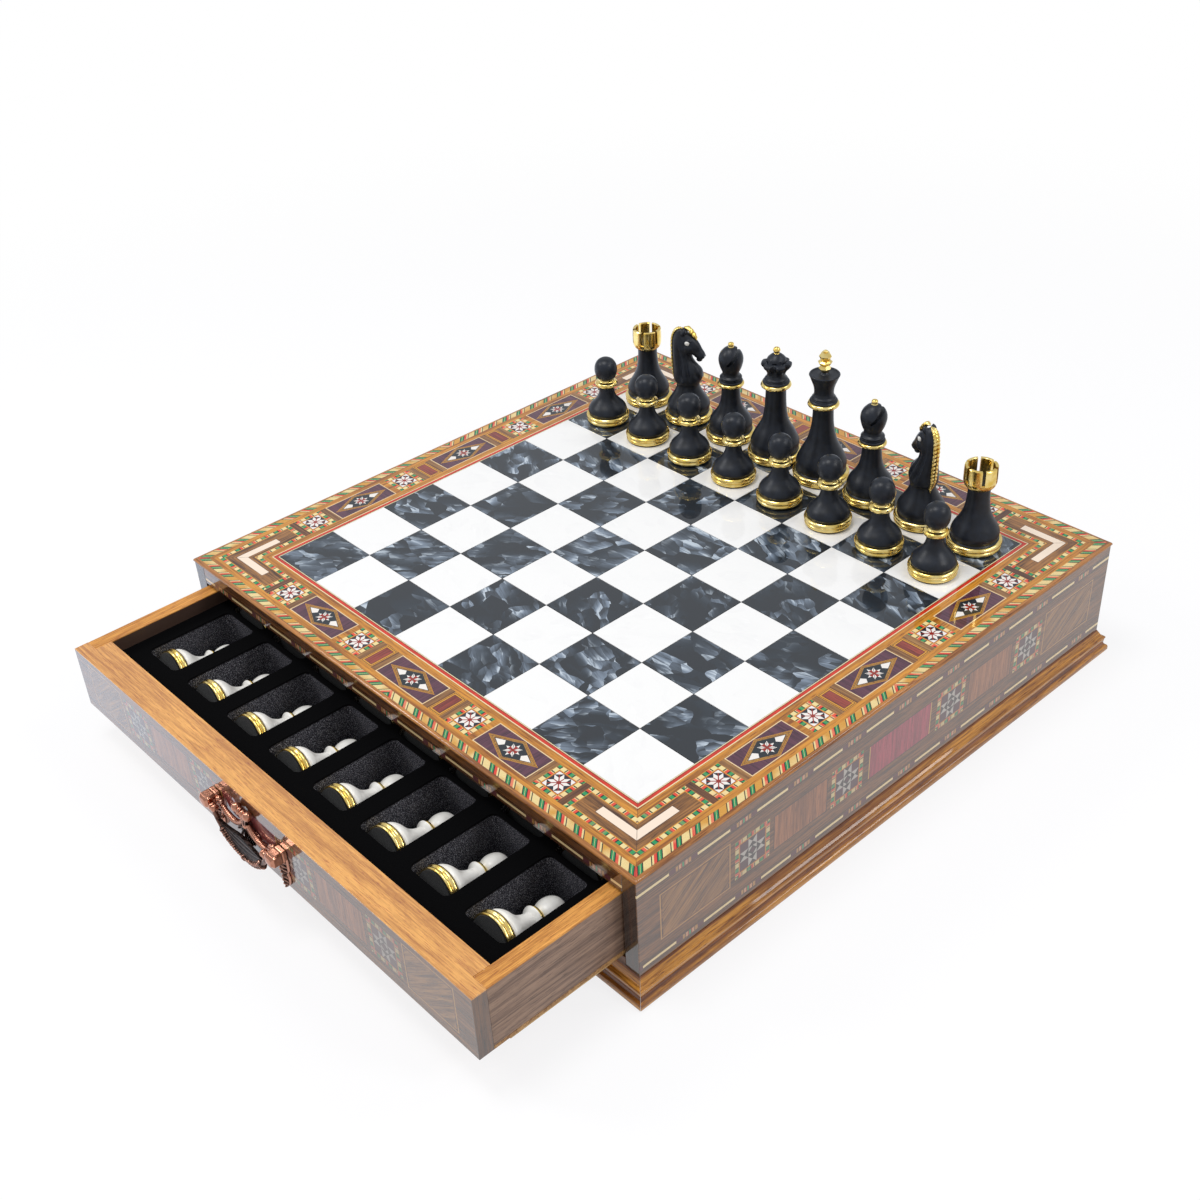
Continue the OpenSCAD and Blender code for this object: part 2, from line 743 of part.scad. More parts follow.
// The knight's horse as seen from its side, looking along +X: [x, z]
HORSE_SIDE = [
    [8.2, 29], [10.4, 32], [10.2, 37], [7.2, 41], [4.2, 44.6], [3.0, 47.6], [4.8, 48.2],
    [7.0, 46.2], [9.2, 44.8], [11.6, 45.4], [12.8, 48], [11.4, 51], [8.4, 55], [5.4, 59],
    [2.8, 63], [1.4, 66.4], [0.2, 70], [-2.8, 68.4], [-4.6, 66], [-8, 64.4], [-10.4, 60.4],
    [-11.2, 54], [-10.8, 46], [-10.4, 40], [-10.6, 34], [-9.2, 29]];
// Half of the horse as seen from its front: [half width, z]
HORSE_FRONT = [
    [8.2, 28], [8.7, 32.5], [8.2, 37], [6.8, 42], [5.7, 47], [5.1, 53], [4.8, 59],
    [4.4, 64], [3.4, 70]];
EAR_NOTCH = [0, 66];

function flipped(pts) = [for (i = [len(pts) - 1:-1:0]) [-pts[i][0], pts[i][1]]];

module horse() {
    k = grow_h("knight");
    scale(k) intersection() {
        rotate([90, 0, 0]) translate([0, 0, -20]) linear_extrude(40)
            polygon(smooth(HORSE_SIDE, 2));
        rotate([90, 0, 90]) translate([0, 0, -20]) linear_extrude(40)
            polygon(concat(smooth(HORSE_FRONT, 2), [EAR_NOTCH],
                           flipped(smooth(HORSE_FRONT, 2))));
    }
}

// One man of each kind, standing on z = 0
module pawn() {
    turned("pawn");
}

module rook() {
    k = grow_h("rook");
    inside = 7 * grow_d("rook");
    difference() {
        turned("rook");
        for (turn = [15:60:315]) rotate([0, 0, turn])
            span([inside, -crenel_w / 2, 45.4 * k], [rook_d, crenel_w / 2, rook_h + 1]);
    }
}

module knight() {
    turned("knight");
    horse();
}

module bishop() {
    difference() {
        turned("bishop");
        // The slanting saw cut in the mitre
        translate([0, 0, 58.9 * grow_h("bishop")]) rotate([0, -47, 0])
            span([-6.5, -bishop_d, -mitre_cut_w / 2], [bishop_d, bishop_d, mitre_cut_w / 2]);
    }
}

module queen() {
    k = grow_h("queen");
    difference() {
        turned("queen");
        for (turn = [0:60:300]) rotate([0, 0, turn])
            translate([10.6 * grow_d("queen"), 0, scallop_z * k])
                cylinder(d = scallop_d, h = scallop_h * k);
    }
}

module king() {
    turned("king");
}

module standing(name) {
    if (name == "pawn") pawn();
    if (name == "rook") rook();
    if (name == "knight") knight();
    if (name == "bishop") bishop();
    if (name == "queen") queen();
    if (name == "king") king();
}

// The points that a man can lie on besides its foot
function side_points(name) = let (k = grow_h(name))
    name == "knight" ? [for (p = HORSE_FRONT) p * k]
                     : [for (p = outline(name)) if (p[1] > 2 * FOOT_TOP * k) p];

// A man lying in a pocket that starts at y = 0: foot to the front, and tilted
// until its foot and its head both reach the floor
module lying(name) {
    r = man_d(name) / 2;
    z = FOOT_TOP * grow_h(name);
    lean = min([for (p = side_points(name)) atan2(r - p[0], p[1] - z)]);
    rise = r * cos(lean) + z * sin(lean);
    translate([0, end_gap + r * sin(lean), pocket_z + lying_gap + rise])
        rotate([-90 - lean, 0, 0]) standing(name);
}

// The black men stand on their own squares
module black_officer(i) {
    color("#1b1b1d") translate([(i + 0.5) * square - field, field - square / 2, board_z])
        rotate([0, 0, TURN[i]]) standing(OFFICERS[i]);
}

module black_pawn(i) {
    color("#1b1b1d") translate([(i + 0.5) * square - field, field - 1.5 * square, board_z])
        standing("pawn");
}

// The white men lie in the front drawer's pockets
module white_pawns() {
    color("ivory") front_place() for (i = [0:files - 1])
        translate([pocket_x(i), pawn_y, 0]) lying("pawn");
}

module white_officers(name) {
    color("ivory") front_place() for (i = [0:files - 1]) if (OFFICERS[i] == name)
        translate([pocket_x(i), officer_y, 0]) lying(name);
}

module drawer_part(name) {
    if (name == "face") face();
    if (name == "left_board") side_board(-1);
    if (name == "right_board") side_board(1);
    if (name == "back_board") back_board();
    if (name == "bottom_panel") bottom_panel();
    if (name == "tray") tray();
    if (name == "glides") glides();
    if (name == "pull_posts") pull_posts();
    if (name == "pull_screws") pull_screws();
    if (name == "pull_bail") pull_bail();
}

base_moulding();
base_board();
floor_panel();
mirror([1, 0, 0]) side_panel();  // left_side
side_panel();  // right_side
rail();  // front_rail
mirror([0, 1, 0]) rail();  // back_rail
centre_divider();
top_board();
border_veneer();
rope_inlay();
line_inlay();
light_squares();
dark_squares();
corner_inlays();
lozenge_panels();
star_tiles();
red_tiles();
for (p = DRAWER_PARTS)
    front_place() drawer_part(p);
for (p = DRAWER_PARTS)
    back_place() drawer_part(p);
for (i = [0:files - 1])
    black_officer(i);
for (i = [0:files - 1])
    black_pawn(i);
white_pawns();
for (name = ["rook", "knight", "bishop"])
    white_officers(name);
for (name = ["queen", "king"])
    white_officers(name);
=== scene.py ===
"""Chess box with drawers: woods, inlays, lacquer, turned and carved men, cast pulls."""

import json
import math

import bmesh
import bpy
import numpy as np
from mathutils import Matrix, Vector

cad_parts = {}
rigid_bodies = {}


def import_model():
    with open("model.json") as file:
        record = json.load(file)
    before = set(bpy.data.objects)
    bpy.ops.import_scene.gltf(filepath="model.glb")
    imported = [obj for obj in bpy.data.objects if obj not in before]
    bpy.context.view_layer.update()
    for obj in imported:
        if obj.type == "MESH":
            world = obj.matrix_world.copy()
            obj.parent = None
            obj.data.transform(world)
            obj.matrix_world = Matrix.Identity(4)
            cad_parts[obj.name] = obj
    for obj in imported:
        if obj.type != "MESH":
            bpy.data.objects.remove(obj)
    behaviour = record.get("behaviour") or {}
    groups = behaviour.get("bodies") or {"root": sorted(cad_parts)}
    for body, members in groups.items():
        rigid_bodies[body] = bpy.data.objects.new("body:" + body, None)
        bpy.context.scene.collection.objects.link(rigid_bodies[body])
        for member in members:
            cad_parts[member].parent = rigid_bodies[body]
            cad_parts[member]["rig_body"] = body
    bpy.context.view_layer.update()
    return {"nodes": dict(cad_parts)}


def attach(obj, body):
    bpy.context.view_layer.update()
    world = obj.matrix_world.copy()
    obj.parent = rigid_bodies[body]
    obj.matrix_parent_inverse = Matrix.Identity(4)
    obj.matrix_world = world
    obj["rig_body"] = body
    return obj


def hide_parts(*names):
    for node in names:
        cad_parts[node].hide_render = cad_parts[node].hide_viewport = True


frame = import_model()
NODES = frame["nodes"]

# ---------------------------------------------------------------- sizes, mm

MM = 0.001
SQUARE = 40.0
FIELD = 160.0
TILE_IN, TILE_OUT = 167.8, 187.2
ROPE_IN, ROPE_OUT = 191.4, 196.0
CASE_HALF = 198.0
BOARD_Z = 81.0
TILE_MID = (TILE_IN + TILE_OUT) / 2
TILE_HALF = (TILE_OUT - TILE_IN) / 2
DASH_W = 2.7
LEG_END = 135.2
IVORY_IN, IVORY_OUT, IVORY_END = 173.9, 178.9, 150.0
LOZENGE_HALF = 21.5
STAR_NEAR, STAR_FAR = 50.2, 121.2
RED_AT, RED_HALF = 31.0, 5.15
DRAWER_OPEN = 90.5
DRAWER_TOP = 65.5
TRAY_TOP, POCKET_Z = 56.3, 28.5
PITCH = 42.95
PAWN_ROW, OFFICER_ROW = -163.112, -104.532
END_GAP, LYING_GAP = 0.2, 0.3
FOOT_TOP = 5.2
PIVOT_OUT, PIVOT_Z = 6.8, 48.0
POST_X, POST_OUT, BAIL_HALF, BAIL_DROP = 32.0, 9.8, 27.9, 19.0
BEAD_AT, BEAD_RISE, SWAG_X, SWAG_RISE, SWAG_R = 5.3, 10.3, 14.5, 9.58, 14.0
SWAG_OUT, BEAD_OUT = 2.3, 2.9
FLOOR_HALF, FLOOR_FADE = 8, (500.0, 1100.0)


# ------------------------------------------------- materials, written as sums


class Wire:
    """A value on its way through a material; sums on it become nodes."""

    def __init__(self, shade, socket):
        self.shade, self.socket = shade, socket

    def sum(self, operation, *values):
        return self.shade.node("Math", {"operation": operation}, values)

    def __add__(self, other):
        return self.sum("ADD", self, other)

    def __radd__(self, other):
        return self.sum("ADD", other, self)

    def __sub__(self, other):
        return self.sum("SUBTRACT", self, other)

    def __rsub__(self, other):
        return self.sum("SUBTRACT", other, self)

    def __mul__(self, other):
        return self.sum("MULTIPLY", self, other)

    def __rmul__(self, other):
        return self.sum("MULTIPLY", other, self)

    def __truediv__(self, other):
        return self.sum("DIVIDE", self, other)

    def __rtruediv__(self, other):
        return self.sum("DIVIDE", other, self)

    def __mod__(self, other):
        return self.sum("FLOORED_MODULO", self, other)

    def __pow__(self, other):
        return self.sum("POWER", self, other)

    def __abs__(self):
        return self.sum("ABSOLUTE", self)

    def __lt__(self, other):
        return self.sum("LESS_THAN", self, other)

    def __gt__(self, other):
        return self.sum("GREATER_THAN", self, other)

    def high(self, other):
        return self.sum("MAXIMUM", self, other)

    def low(self, other):
        return self.sum("MINIMUM", self, other)

    def floor(self):
        return self.sum("FLOOR", self)

    def sine(self):
        return self.sum("SINE", self)

    def within(self, low, high):
        """1 between two values, 0 outside them."""
        return (self > low) * (self < high)

    def pick(self, yes, no):
        """yes where this mask is 1, no where it is 0."""
        return self * yes + (1 - self) * no

    def ease(self, low, high):
        """0 below low, 1 above high, and a smooth rise between them."""
        return self.shade.node(
            "MapRange", {"interpolation_type": "SMOOTHSTEP"}, [self, low, high, 0.0, 1.0])


def paint(code):
    """A screen colour such as c88a45 as the linear colour that a shader takes."""
    value = np.array([int(code[i:i + 2], 16) for i in (0, 2, 4)]) / 255
    linear = np.where(value < 0.04045, value / 12.92, ((value + 0.055) / 1.055) ** 2.4)
    return (*linear.tolist(), 1.0)


class Shade:
    """One material: its steady values, and the nodes that feed what varies."""

    def __init__(self, name, steady, kind="materials", shader="Principled BSDF"):
        self.material = getattr(bpy.data, kind).new(name)
        self.material.use_nodes = True
        self.tree = self.material.node_tree
        self.shader = self.tree.nodes[shader]
        for socket, value in steady.items():
            self.shader.inputs[socket].default_value = value

    def node(self, kind, settings=(), inputs=(), out=0):
        made = self.tree.nodes.new("ShaderNode" + kind)
        for key, value in dict(settings).items():
            setattr(made, key, value)
        pairs = inputs.items() if isinstance(inputs, dict) else enumerate(inputs)
        for key, value in pairs:
            if isinstance(value, Wire):
                self.tree.links.new(value.socket, made.inputs[key])
            else:
                made.inputs[key].default_value = value
        return Wire(self, made.outputs[out])

    def place(self):
        """x, y and z of the point, in millimetres in the part's own frame."""
        spot = self.node("VectorMath", {"operation": "SCALE"},
                         {0: self.node("TexCoord", out="Object"), "Scale": 1000.0})
        split = self.node("SeparateXYZ", (), [spot]).socket.node
        return [Wire(self, split.outputs[i]) for i in range(3)]

    def spot(self, x, y, z):
        return self.node("CombineXYZ", (), [x, y, z])

    def cloud(self, spot, scale=1.0, detail=3.0, rough=0.5, warp=0.0):
        """Soft noise from 0 to 1."""
        return self.node("TexNoise", (), {"Vector": spot, "Scale": scale, "Detail": detail,
                                          "Roughness": rough, "Distortion": warp})

    def facets(self, spot):
        """A crumpled sheet, about 0 to 1: each cell slopes its own way, so the
        value runs evenly inside a cell and jumps at the creases between cells."""
        cells = self.node("TexVoronoi", {"feature": "F1"},
                          {"Vector": spot, "Scale": 1.0, "Randomness": 1.0}, out="Position")
        tint = Wire(self, cells.socket.node.outputs["Color"])
        away = self.node("VectorMath", {"operation": "SUBTRACT"}, [spot, cells])
        slope = self.node("VectorMath", {"operation": "SUBTRACT"}, {0: tint, 1: (0.5, 0.5, 0.5)})
        return 0.5 + self.node("VectorMath", {"operation": "DOT_PRODUCT"}, [away, slope],
                               out="Value") * 1.5

    def mix(self, share, first, second, blend="MIX"):
        return self.node("Mix", {"data_type": "RGBA", "blend_type": blend},
                         {0: share, 6: first, 7: second}, out=2)

    def lay(self, ground, *inlays):
        """Inlays laid over a ground in turn, each a mask and a colour."""
        for mask, colour in inlays:
            ground = self.mix(mask, ground, colour)
        return ground

    def tones(self, value, stops, steps=False):
        """Colours along a value: blended between the stops, or in flat steps."""
        ramp = self.node("ValToRGB", (), [value])
        scale = ramp.socket.node.color_ramp
        scale.interpolation = "CONSTANT" if steps else "LINEAR"
        for number, (at, colour) in enumerate(stops):
            stop = scale.elements[number] if number < 2 else scale.elements.new(at)
            stop.position, stop.color = at, colour
        return ramp

    def strips(self, along, *widths):
        """Strips laid side by side over and over, each a width in mm and a colour."""
        period = sum(width for width, _ in widths)
        starts = np.cumsum([0.0] + [width for width, _ in widths[:-1]]) / period
        return self.tones((along % period) / period,
                          [(float(at), colour) for at, (_, colour) in zip(starts, widths)],
                          steps=True)

    def feed(self, socket, wire):
        self.tree.links.new(wire.socket, self.shader.inputs[socket])
        return self

    def relief(self, height, depth):
        """Raises the surface by height, 0 to 1, times a depth in mm."""
        return self.feed("Normal", self.node(
            "Bump", (), {"Strength": 1.0, "Distance": depth * MM, "Height": height}))


LACQUER = {"Roughness": 0.5, "Specular IOR Level": 0.15, "Coat Weight": 1.0,
           "Coat Roughness": 0.03}
SATIN = {"Roughness": 0.5, "Specular IOR Level": 0.2, "Coat Weight": 1.0,
         "Coat IOR": 1.9, "Coat Roughness": 0.05}

# Veneers and their dyes
HONEY, HONEY_DARK = paint("dc9630"), paint("8a4e16")
WALNUT, WALNUT_DARK, WALNUT_LIGHT = paint("82512c"), paint("452613"), paint("a8733a")
CREAM, PALE, IVORY, GOLD_LINE = paint("ecdc9c"), paint("ecd0a2"), paint("f8e4d0"), paint("d8962c")
GREEN, RED, SALMON, EBONY = paint("129457"), paint("e2452f"), paint("ea8460"), paint("1c1a19")
YELLOW, SCARLET = paint("e4b65c"), paint("dc3412")
BONE, NIGHT, RUBY = paint("f2ede8"), paint("141c24"), paint("94200f")
DEEP_PLUM = paint("4a1f33")


def grain(shade, run, side, up, light, dark, figure=1.0, fine=1.0, seed=0.0):
    """Wood: broad bands from noise stretched along the run, and dark pores
    stretched less, both running with the fibres. Returns colour and pores."""
    slow = shade.cloud(shade.spot(run * 0.007 * figure + seed, side * 0.11 * figure,
                                  up * 0.11 * figure), 1.0, 4.0, 0.62, 1.4)
    quick = shade.cloud(shade.spot(run * 0.025 * fine, side * 0.6 * fine, up * 0.6 * fine),
                        1.0, 3.0, 0.6)
    pores = shade.cloud(shade.spot(run * 0.07 * fine + seed, side * 1.2 * fine,
                                   up * 1.2 * fine), 1.0, 3.0, 0.6)
    tone = (slow * 0.55 + quick * 0.45).ease(0.36, 0.64)
    colour = shade.mix(tone, dark, light)
    lines = pores.ease(0.54, 0.68)
    return shade.mix(lines * 0.75, colour, dark, "MULTIPLY"), lines


def folded(x, y):
    """How far out and how far along a point of the border lies, with all four
    sides and both halves of each folded on one another; and the signed run."""
    ax, ay = abs(x), abs(y)
    front = ay > ax
    return ax.high(ay), ax.low(ay), x * front + y * (1 - front), y * front + x * (1 - front)


def dashes(shade, along):
    """The dashed stringing: green, red and cream blocks between dark lines,
    some of them faded."""
    blocks = shade.strips(along, (0.75, EBONY), (0.4, CREAM), (1.6, RED), (0.75, EBONY),
                          (2.1, GREEN), (0.75, EBONY), (3.05, CREAM))
    faded = shade.cloud(shade.spot(along * 0.17, 0.0, 0.0), 1.0, 1.0).ease(0.45, 0.7)
    return shade.mix(faded * 0.3, blocks, paint("f2b184"))


def dashed_frame(shade, ground, u, v, half_u, half_v, width, shift=0.0):
    """Stringing laid round a panel just inside its edge, between two gold lines."""
    edge_u, edge_v = half_u - abs(u), half_v - abs(v)
    edge = edge_u.low(edge_v)
    blocks = dashes(shade, (edge_u < edge_v).pick(v, u) + shift)
    return shade.lay(ground, (edge < width + 1.0, GOLD_LINE),
                     (edge.within(width + 0.6, width + 1.0), RUBY),
                     (edge.within(0.15, width), blocks))


def star(shade, u, v, half, ground, ray, ray_line):
    """An eight-rayed star in a square: rhombus rays on a dark ground, a pale
    triangle in each corner, and dyed lines between the rays."""
    p, q = abs(u) / half, abs(v) / half
    far, near = p.high(q), p.low(q)
    # A ray is a rhombus from the middle to its tip at (1, 0.414) of the half
    # width, with its side corners at (0.586, 0) and (0.414, 0.414)
    rays = (near < 0.414) * ((far - near) < 0.586)
    corner = (p + q) > 1.45
    seam = (near < 0.055).high((far - near) < 0.075) * ((far - near * 0.3) < 0.58)
    heart = (far + near * 0.6) < 0.24
    return shade.lay(ground, (rays, ray), (seam.high(heart), ray_line), (corner, ray))


def top_woods(shade):
    """The border's own wood: honey bands along the sides, mixed strips across."""
    x, y, _ = shade.place()
    a, b, run, side = folded(x, y)
    along, lines = grain(shade, run, side, 0.0, HONEY, HONEY_DARK, 1.0, 1.0)
    across, _ = grain(shade, side, run, 0.0, paint("a87a44"), paint("6d4526"), 1.6, 1.4, 4.0)
    dark, _ = grain(shade, side, run, 0.0, WALNUT, WALNUT_DARK, 1.6, 1.4, 8.0)
    walnut = b.within(130.0, 135.5).high(b.within(25.0, 36.4))
    between = shade.mix(walnut, across, dark)
    colour = shade.lay(along, (a.within(TILE_IN, TILE_OUT), between),
                       (a.within(TILE_IN, TILE_OUT) * b.within(59.8, 64.1), along),
                       ((a - b) < 0.12, WALNUT_DARK), (a > ROPE_OUT - 0.1, shade.mix(
                           0.35, along, WALNUT)))
    return colour, lines


def border_wood():
    shade = Shade("border_honey_wood", LACQUER)
    colour, lines = top_woods(shade)
    return shade.feed("Base Color", colour).relief(lines, 0.02).material


def rope_wood():
    shade = Shade("rope_stringing", LACQUER)
    x, y, _ = shade.place()
    a, b, _, _ = folded(x, y)
    along = b - 0.9 * (a - ROPE_IN) + 5.15
    tint = shade.cloud(shade.spot(x * 0.09, y * 0.09, 0.0), 1.0, 1.0).ease(0.42, 0.58)
    blush = shade.mix(tint, RED, SALMON)
    cut = shade.strips(along, (0.75, EBONY), (1.1, GREEN), (0.25, CREAM), (1.05, GREEN),
                       (0.75, EBONY), (1.9, RED), (1.2, CREAM), (0.7, EBONY), (5.1, YELLOW))
    beat = (along % 12.8)
    fibre = shade.cloud(shade.spot((b + a) * 0.9, along * 3.0, 0.0), 1.0, 3.0).ease(0.3, 0.75)
    gilt = shade.mix(shade.cloud(shade.spot(x * 0.06, y * 0.06, 5.0), 1.0, 1.0).ease(0.4, 0.6),
                     paint("d9a03e"), paint("f0dc9c"))
    colour = shade.lay(cut, (beat.within(3.9, 5.8), blush), (beat > 7.7, gilt))
    colour = shade.mix(fibre * 0.35, colour, paint("c08a4c"), "MULTIPLY")
    colour = shade.lay(colour, ((a - b) < 0.12, EBONY))
    return shade.feed("Base Color", colour).material


def line_wood():
    shade = Shade("line_stringing", LACQUER)
    x, y, _ = shade.place()
    a, b, run, _ = folded(x, y)
    tint = shade.cloud(shade.spot(run * 0.08, 0.0, 0.0), 1.0, 3.0).ease(0.3, 0.7)
    red = shade.mix(tint, paint("bb2a10"), SCARLET)
    colour = shade.lay(paint("efe0b4"), (a.within(FIELD + 0.65, FIELD + 2.7), red),
                       (a.within(FIELD + 0.5, FIELD + 0.9), paint("6a1a10")),
                       ((a - b) < 0.12, paint("6a1a10")))
    return shade.feed("Base Color", colour).material


def corner_wood():
    shade = Shade("corner_marquetry", LACQUER)
    x, y, _ = shade.place()
    a, b, run, side = folded(x, y)
    ground, lines = grain(shade, run, side, 0.0, WALNUT_LIGHT, WALNUT_DARK, 2.2, 1.2, 9.0)
    inside = a - TILE_IN
    outside = TILE_OUT - a
    edge = inside.low(outside).low(b - LEG_END)
    along = ((b - LEG_END) < inside.low(outside)).pick(a, b)
    ivory = a.within(IVORY_IN, IVORY_OUT) * (b > IVORY_END)
    rim = a.within(IVORY_IN - 0.25, IVORY_OUT + 0.2) * (b > IVORY_END - 0.25)
    colour = shade.lay(
        ground, (rim, WALNUT_DARK), (ivory, IVORY),
        ((a - b) < 0.15, WALNUT_DARK), (edge < DASH_W + 0.5, GOLD_LINE),
        (edge.within(0.15, DASH_W), dashes(shade, along)))
    return shade.feed("Base Color", colour).relief(lines, 0.02).material


def star_wood():
    shade = Shade("star_marquetry", LACQUER)
    x, y, _ = shade.place()
    a, b, _, _ = folded(x, y)
    u = a - TILE_MID
    middle = (STAR_NEAR + STAR_FAR) / 2
    v = abs(b - middle) - (STAR_FAR - STAR_NEAR) / 2
    ground = star(shade, u, v, 6.0, NIGHT, BONE, RUBY)
    colour = dashed_frame(shade, ground, u, v, TILE_HALF, TILE_HALF, DASH_W, 4.0)
    return shade.feed("Base Color", colour).material


def lozenge_wood():
    shade = Shade("lozenge_marquetry", LACQUER)
    x, y, _ = shade.place()
    a, b, run, side = folded(x, y)
    u = a - TILE_MID
    v = abs(b - LOZENGE_HALF * 1.988) - LOZENGE_HALF * 1.988
    plum, lines = grain(shade, side, run, 0.0, paint("64384a"), paint("452434"), 1.5, 1.4, 2.0)
    band, _ = grain(shade, side, run, 0.0, paint("b98a3e"), paint("8a5a26"), 2.0, 1.6, 6.0)
    away = abs(v) / 19.7 + abs(u) / 8.9
    inner = abs(v) / 14.0 + abs(u) / 6.6
    outline = (LOZENGE_HALF - abs(v)).low(TILE_HALF - abs(u))
    tips = (inner < 1.0) * (abs(v) > 5.6)
    wedge = (abs(v) > 5.4) * (abs(v) < 6.6 + abs(u) * 0.8) * (inner < 1.0)
    p, q = abs(u) / 5.2, abs(v) / 5.2
    far, near = p.high(q), p.low(q)
    slant = (p + q) * 0.7071
    skew = abs(p - q) * 0.7071
    straight_ray = (near + abs(far - 0.5) * 0.41) < 0.205
    slant_ray = (skew + abs(slant - 0.5) * 0.41) < 0.205
    cross = (far < 0.6) * (near < 0.045 + far * 0.36)
    seam = (near < 0.03).high(skew < 0.03) * (far < 0.62)
    colour = shade.lay(
        plum, (outline < 0.6, PALE), (away < 1.0, GOLD_LINE), (away < 0.965, EBONY),
        (away < 0.935, GOLD_LINE), (away < 0.9, EBONY), (away < 0.875, band),
        (inner < 1.06, EBONY), (inner < 1.0, NIGHT), (tips, BONE), (wedge, NIGHT),
        (straight_ray.high(slant_ray) * (inner < 1.0), BONE), (cross, RUBY),
        (seam * (1 - cross), WALNUT_DARK))
    return shade.feed("Base Color", colour).relief(lines, 0.015).material


def red_wood():
    shade = Shade("red_tile_marquetry", LACQUER)
    x, y, _ = shade.place()
    a, b, run, side = folded(x, y)
    u, v = a - TILE_MID, b - RED_AT
    heart, lines = grain(shade, side, run, 0.0, paint("9c4334"), paint("6d2620"), 2.0, 1.4, 1.0)
    edge = (TILE_HALF - abs(u)).low(RED_HALF - abs(v))
    colour = shade.lay(heart, (edge < 2.15, EBONY), (edge < 1.85, GOLD_LINE),
                       (edge < 1.0, EBONY), (edge < 0.65, GOLD_LINE), (edge < 0.15, EBONY))
    return shade.feed("Base Color", colour).relief(lines, 0.015).material


def pearl(name, ground, wisp, glint, veil, crack):
    """Pearl veneer, each square its own cut of a crumpled sheet: large and small
    facets that shine on one side, with streaks along them."""
    shade = Shade(name, {"Roughness": 0.35, "Specular IOR Level": 0.1, "Coat Weight": 1.0,
                         "Coat Roughness": 0.02})
    x, y, _ = shade.place()
    column, row = (x / SQUARE).floor(), (y / SQUARE).floor()
    cut = column * 17.3 + row * 41.7
    turn = (column * 2.1 + row * 3.7).sine() * 0.8
    p, q = x + y * turn, y - x * turn
    bend = shade.cloud(shade.spot(p * 0.05, q * 0.05, cut), 1.0, 2.0) * 0.9
    broad = shade.facets(shade.spot(p * 0.036 + bend, q * 0.064 + bend, cut))
    fine = shade.facets(shade.spot(p * 0.085 + bend, q * 0.15 - bend, cut + 5.0))
    streak = shade.cloud(shade.spot(p * 0.07 + broad * 2.0, q * 0.6, cut), 1.0, 4.0, 0.65)
    sheet = shade.cloud(shade.spot(p * 0.022, q * 0.022, cut + 19.0), 1.0, 2.0)
    open_sheet = sheet.ease(0.3, 0.54)
    shine = broad.ease(0.36, 0.8) * (0.35 + fine.ease(0.25, 0.75) * 0.65) * streak.ease(0.12, 0.62)
    rim = fine.ease(0.6, 0.85) * broad.ease(0.3, 0.7) * streak.ease(0.36, 0.6)
    colour = shade.mix((shine * (0.25 + open_sheet * 0.75) * veil).low(1.0), ground, wisp)
    colour = shade.mix((rim * (0.2 + open_sheet * 0.8) * veil).low(1.0), colour, glint)
    dark = (1 - broad.ease(0.2, 0.42)).high(1 - fine.ease(0.16, 0.3)) * crack
    colour = shade.mix(dark, colour, shade.mix(0.7, ground, EBONY))
    return shade.feed("Base Color", colour).material


def mosaic(shade, s, z, reflection_haze):
    """A block of triangles and squares inside dashed stringing, 25.6 mm square:
    plum corners, sides quartered into pale and dark, and a small star inside."""
    cell = 6.2
    p, q = abs(s), abs(z)
    far, near = p.high(q), p.low(q)
    side_f, side_n = abs(far - cell), near
    quarter = side_f < side_n
    small = (p + q) / cell
    ground = shade.lay(
        NIGHT, ((far > cell / 2) * (near < cell / 2) * quarter, paint("cdc8c0")),
        ((far > cell / 2) * (near > cell / 2), DEEP_PLUM),
        ((far < cell / 2) * (small > 0.5), paint("cdc8c0")),
        ((far < cell / 2) * (small.within(0.3, 0.5)), NIGHT), (small < 0.3, DEEP_PLUM),
        ((far > 3 * cell / 2).high(abs(far - cell / 2) < 0.1), EBONY))
    framed = dashed_frame(shade, ground, s, z, 12.8, 12.8, 2.7, 2.0)
    # Painted reflection haze: colours muted toward grey-brown as the lacquer's reflection veils
    # them, more on the drawer fronts.
    return shade.mix(reflection_haze, framed, paint("5e4438"))


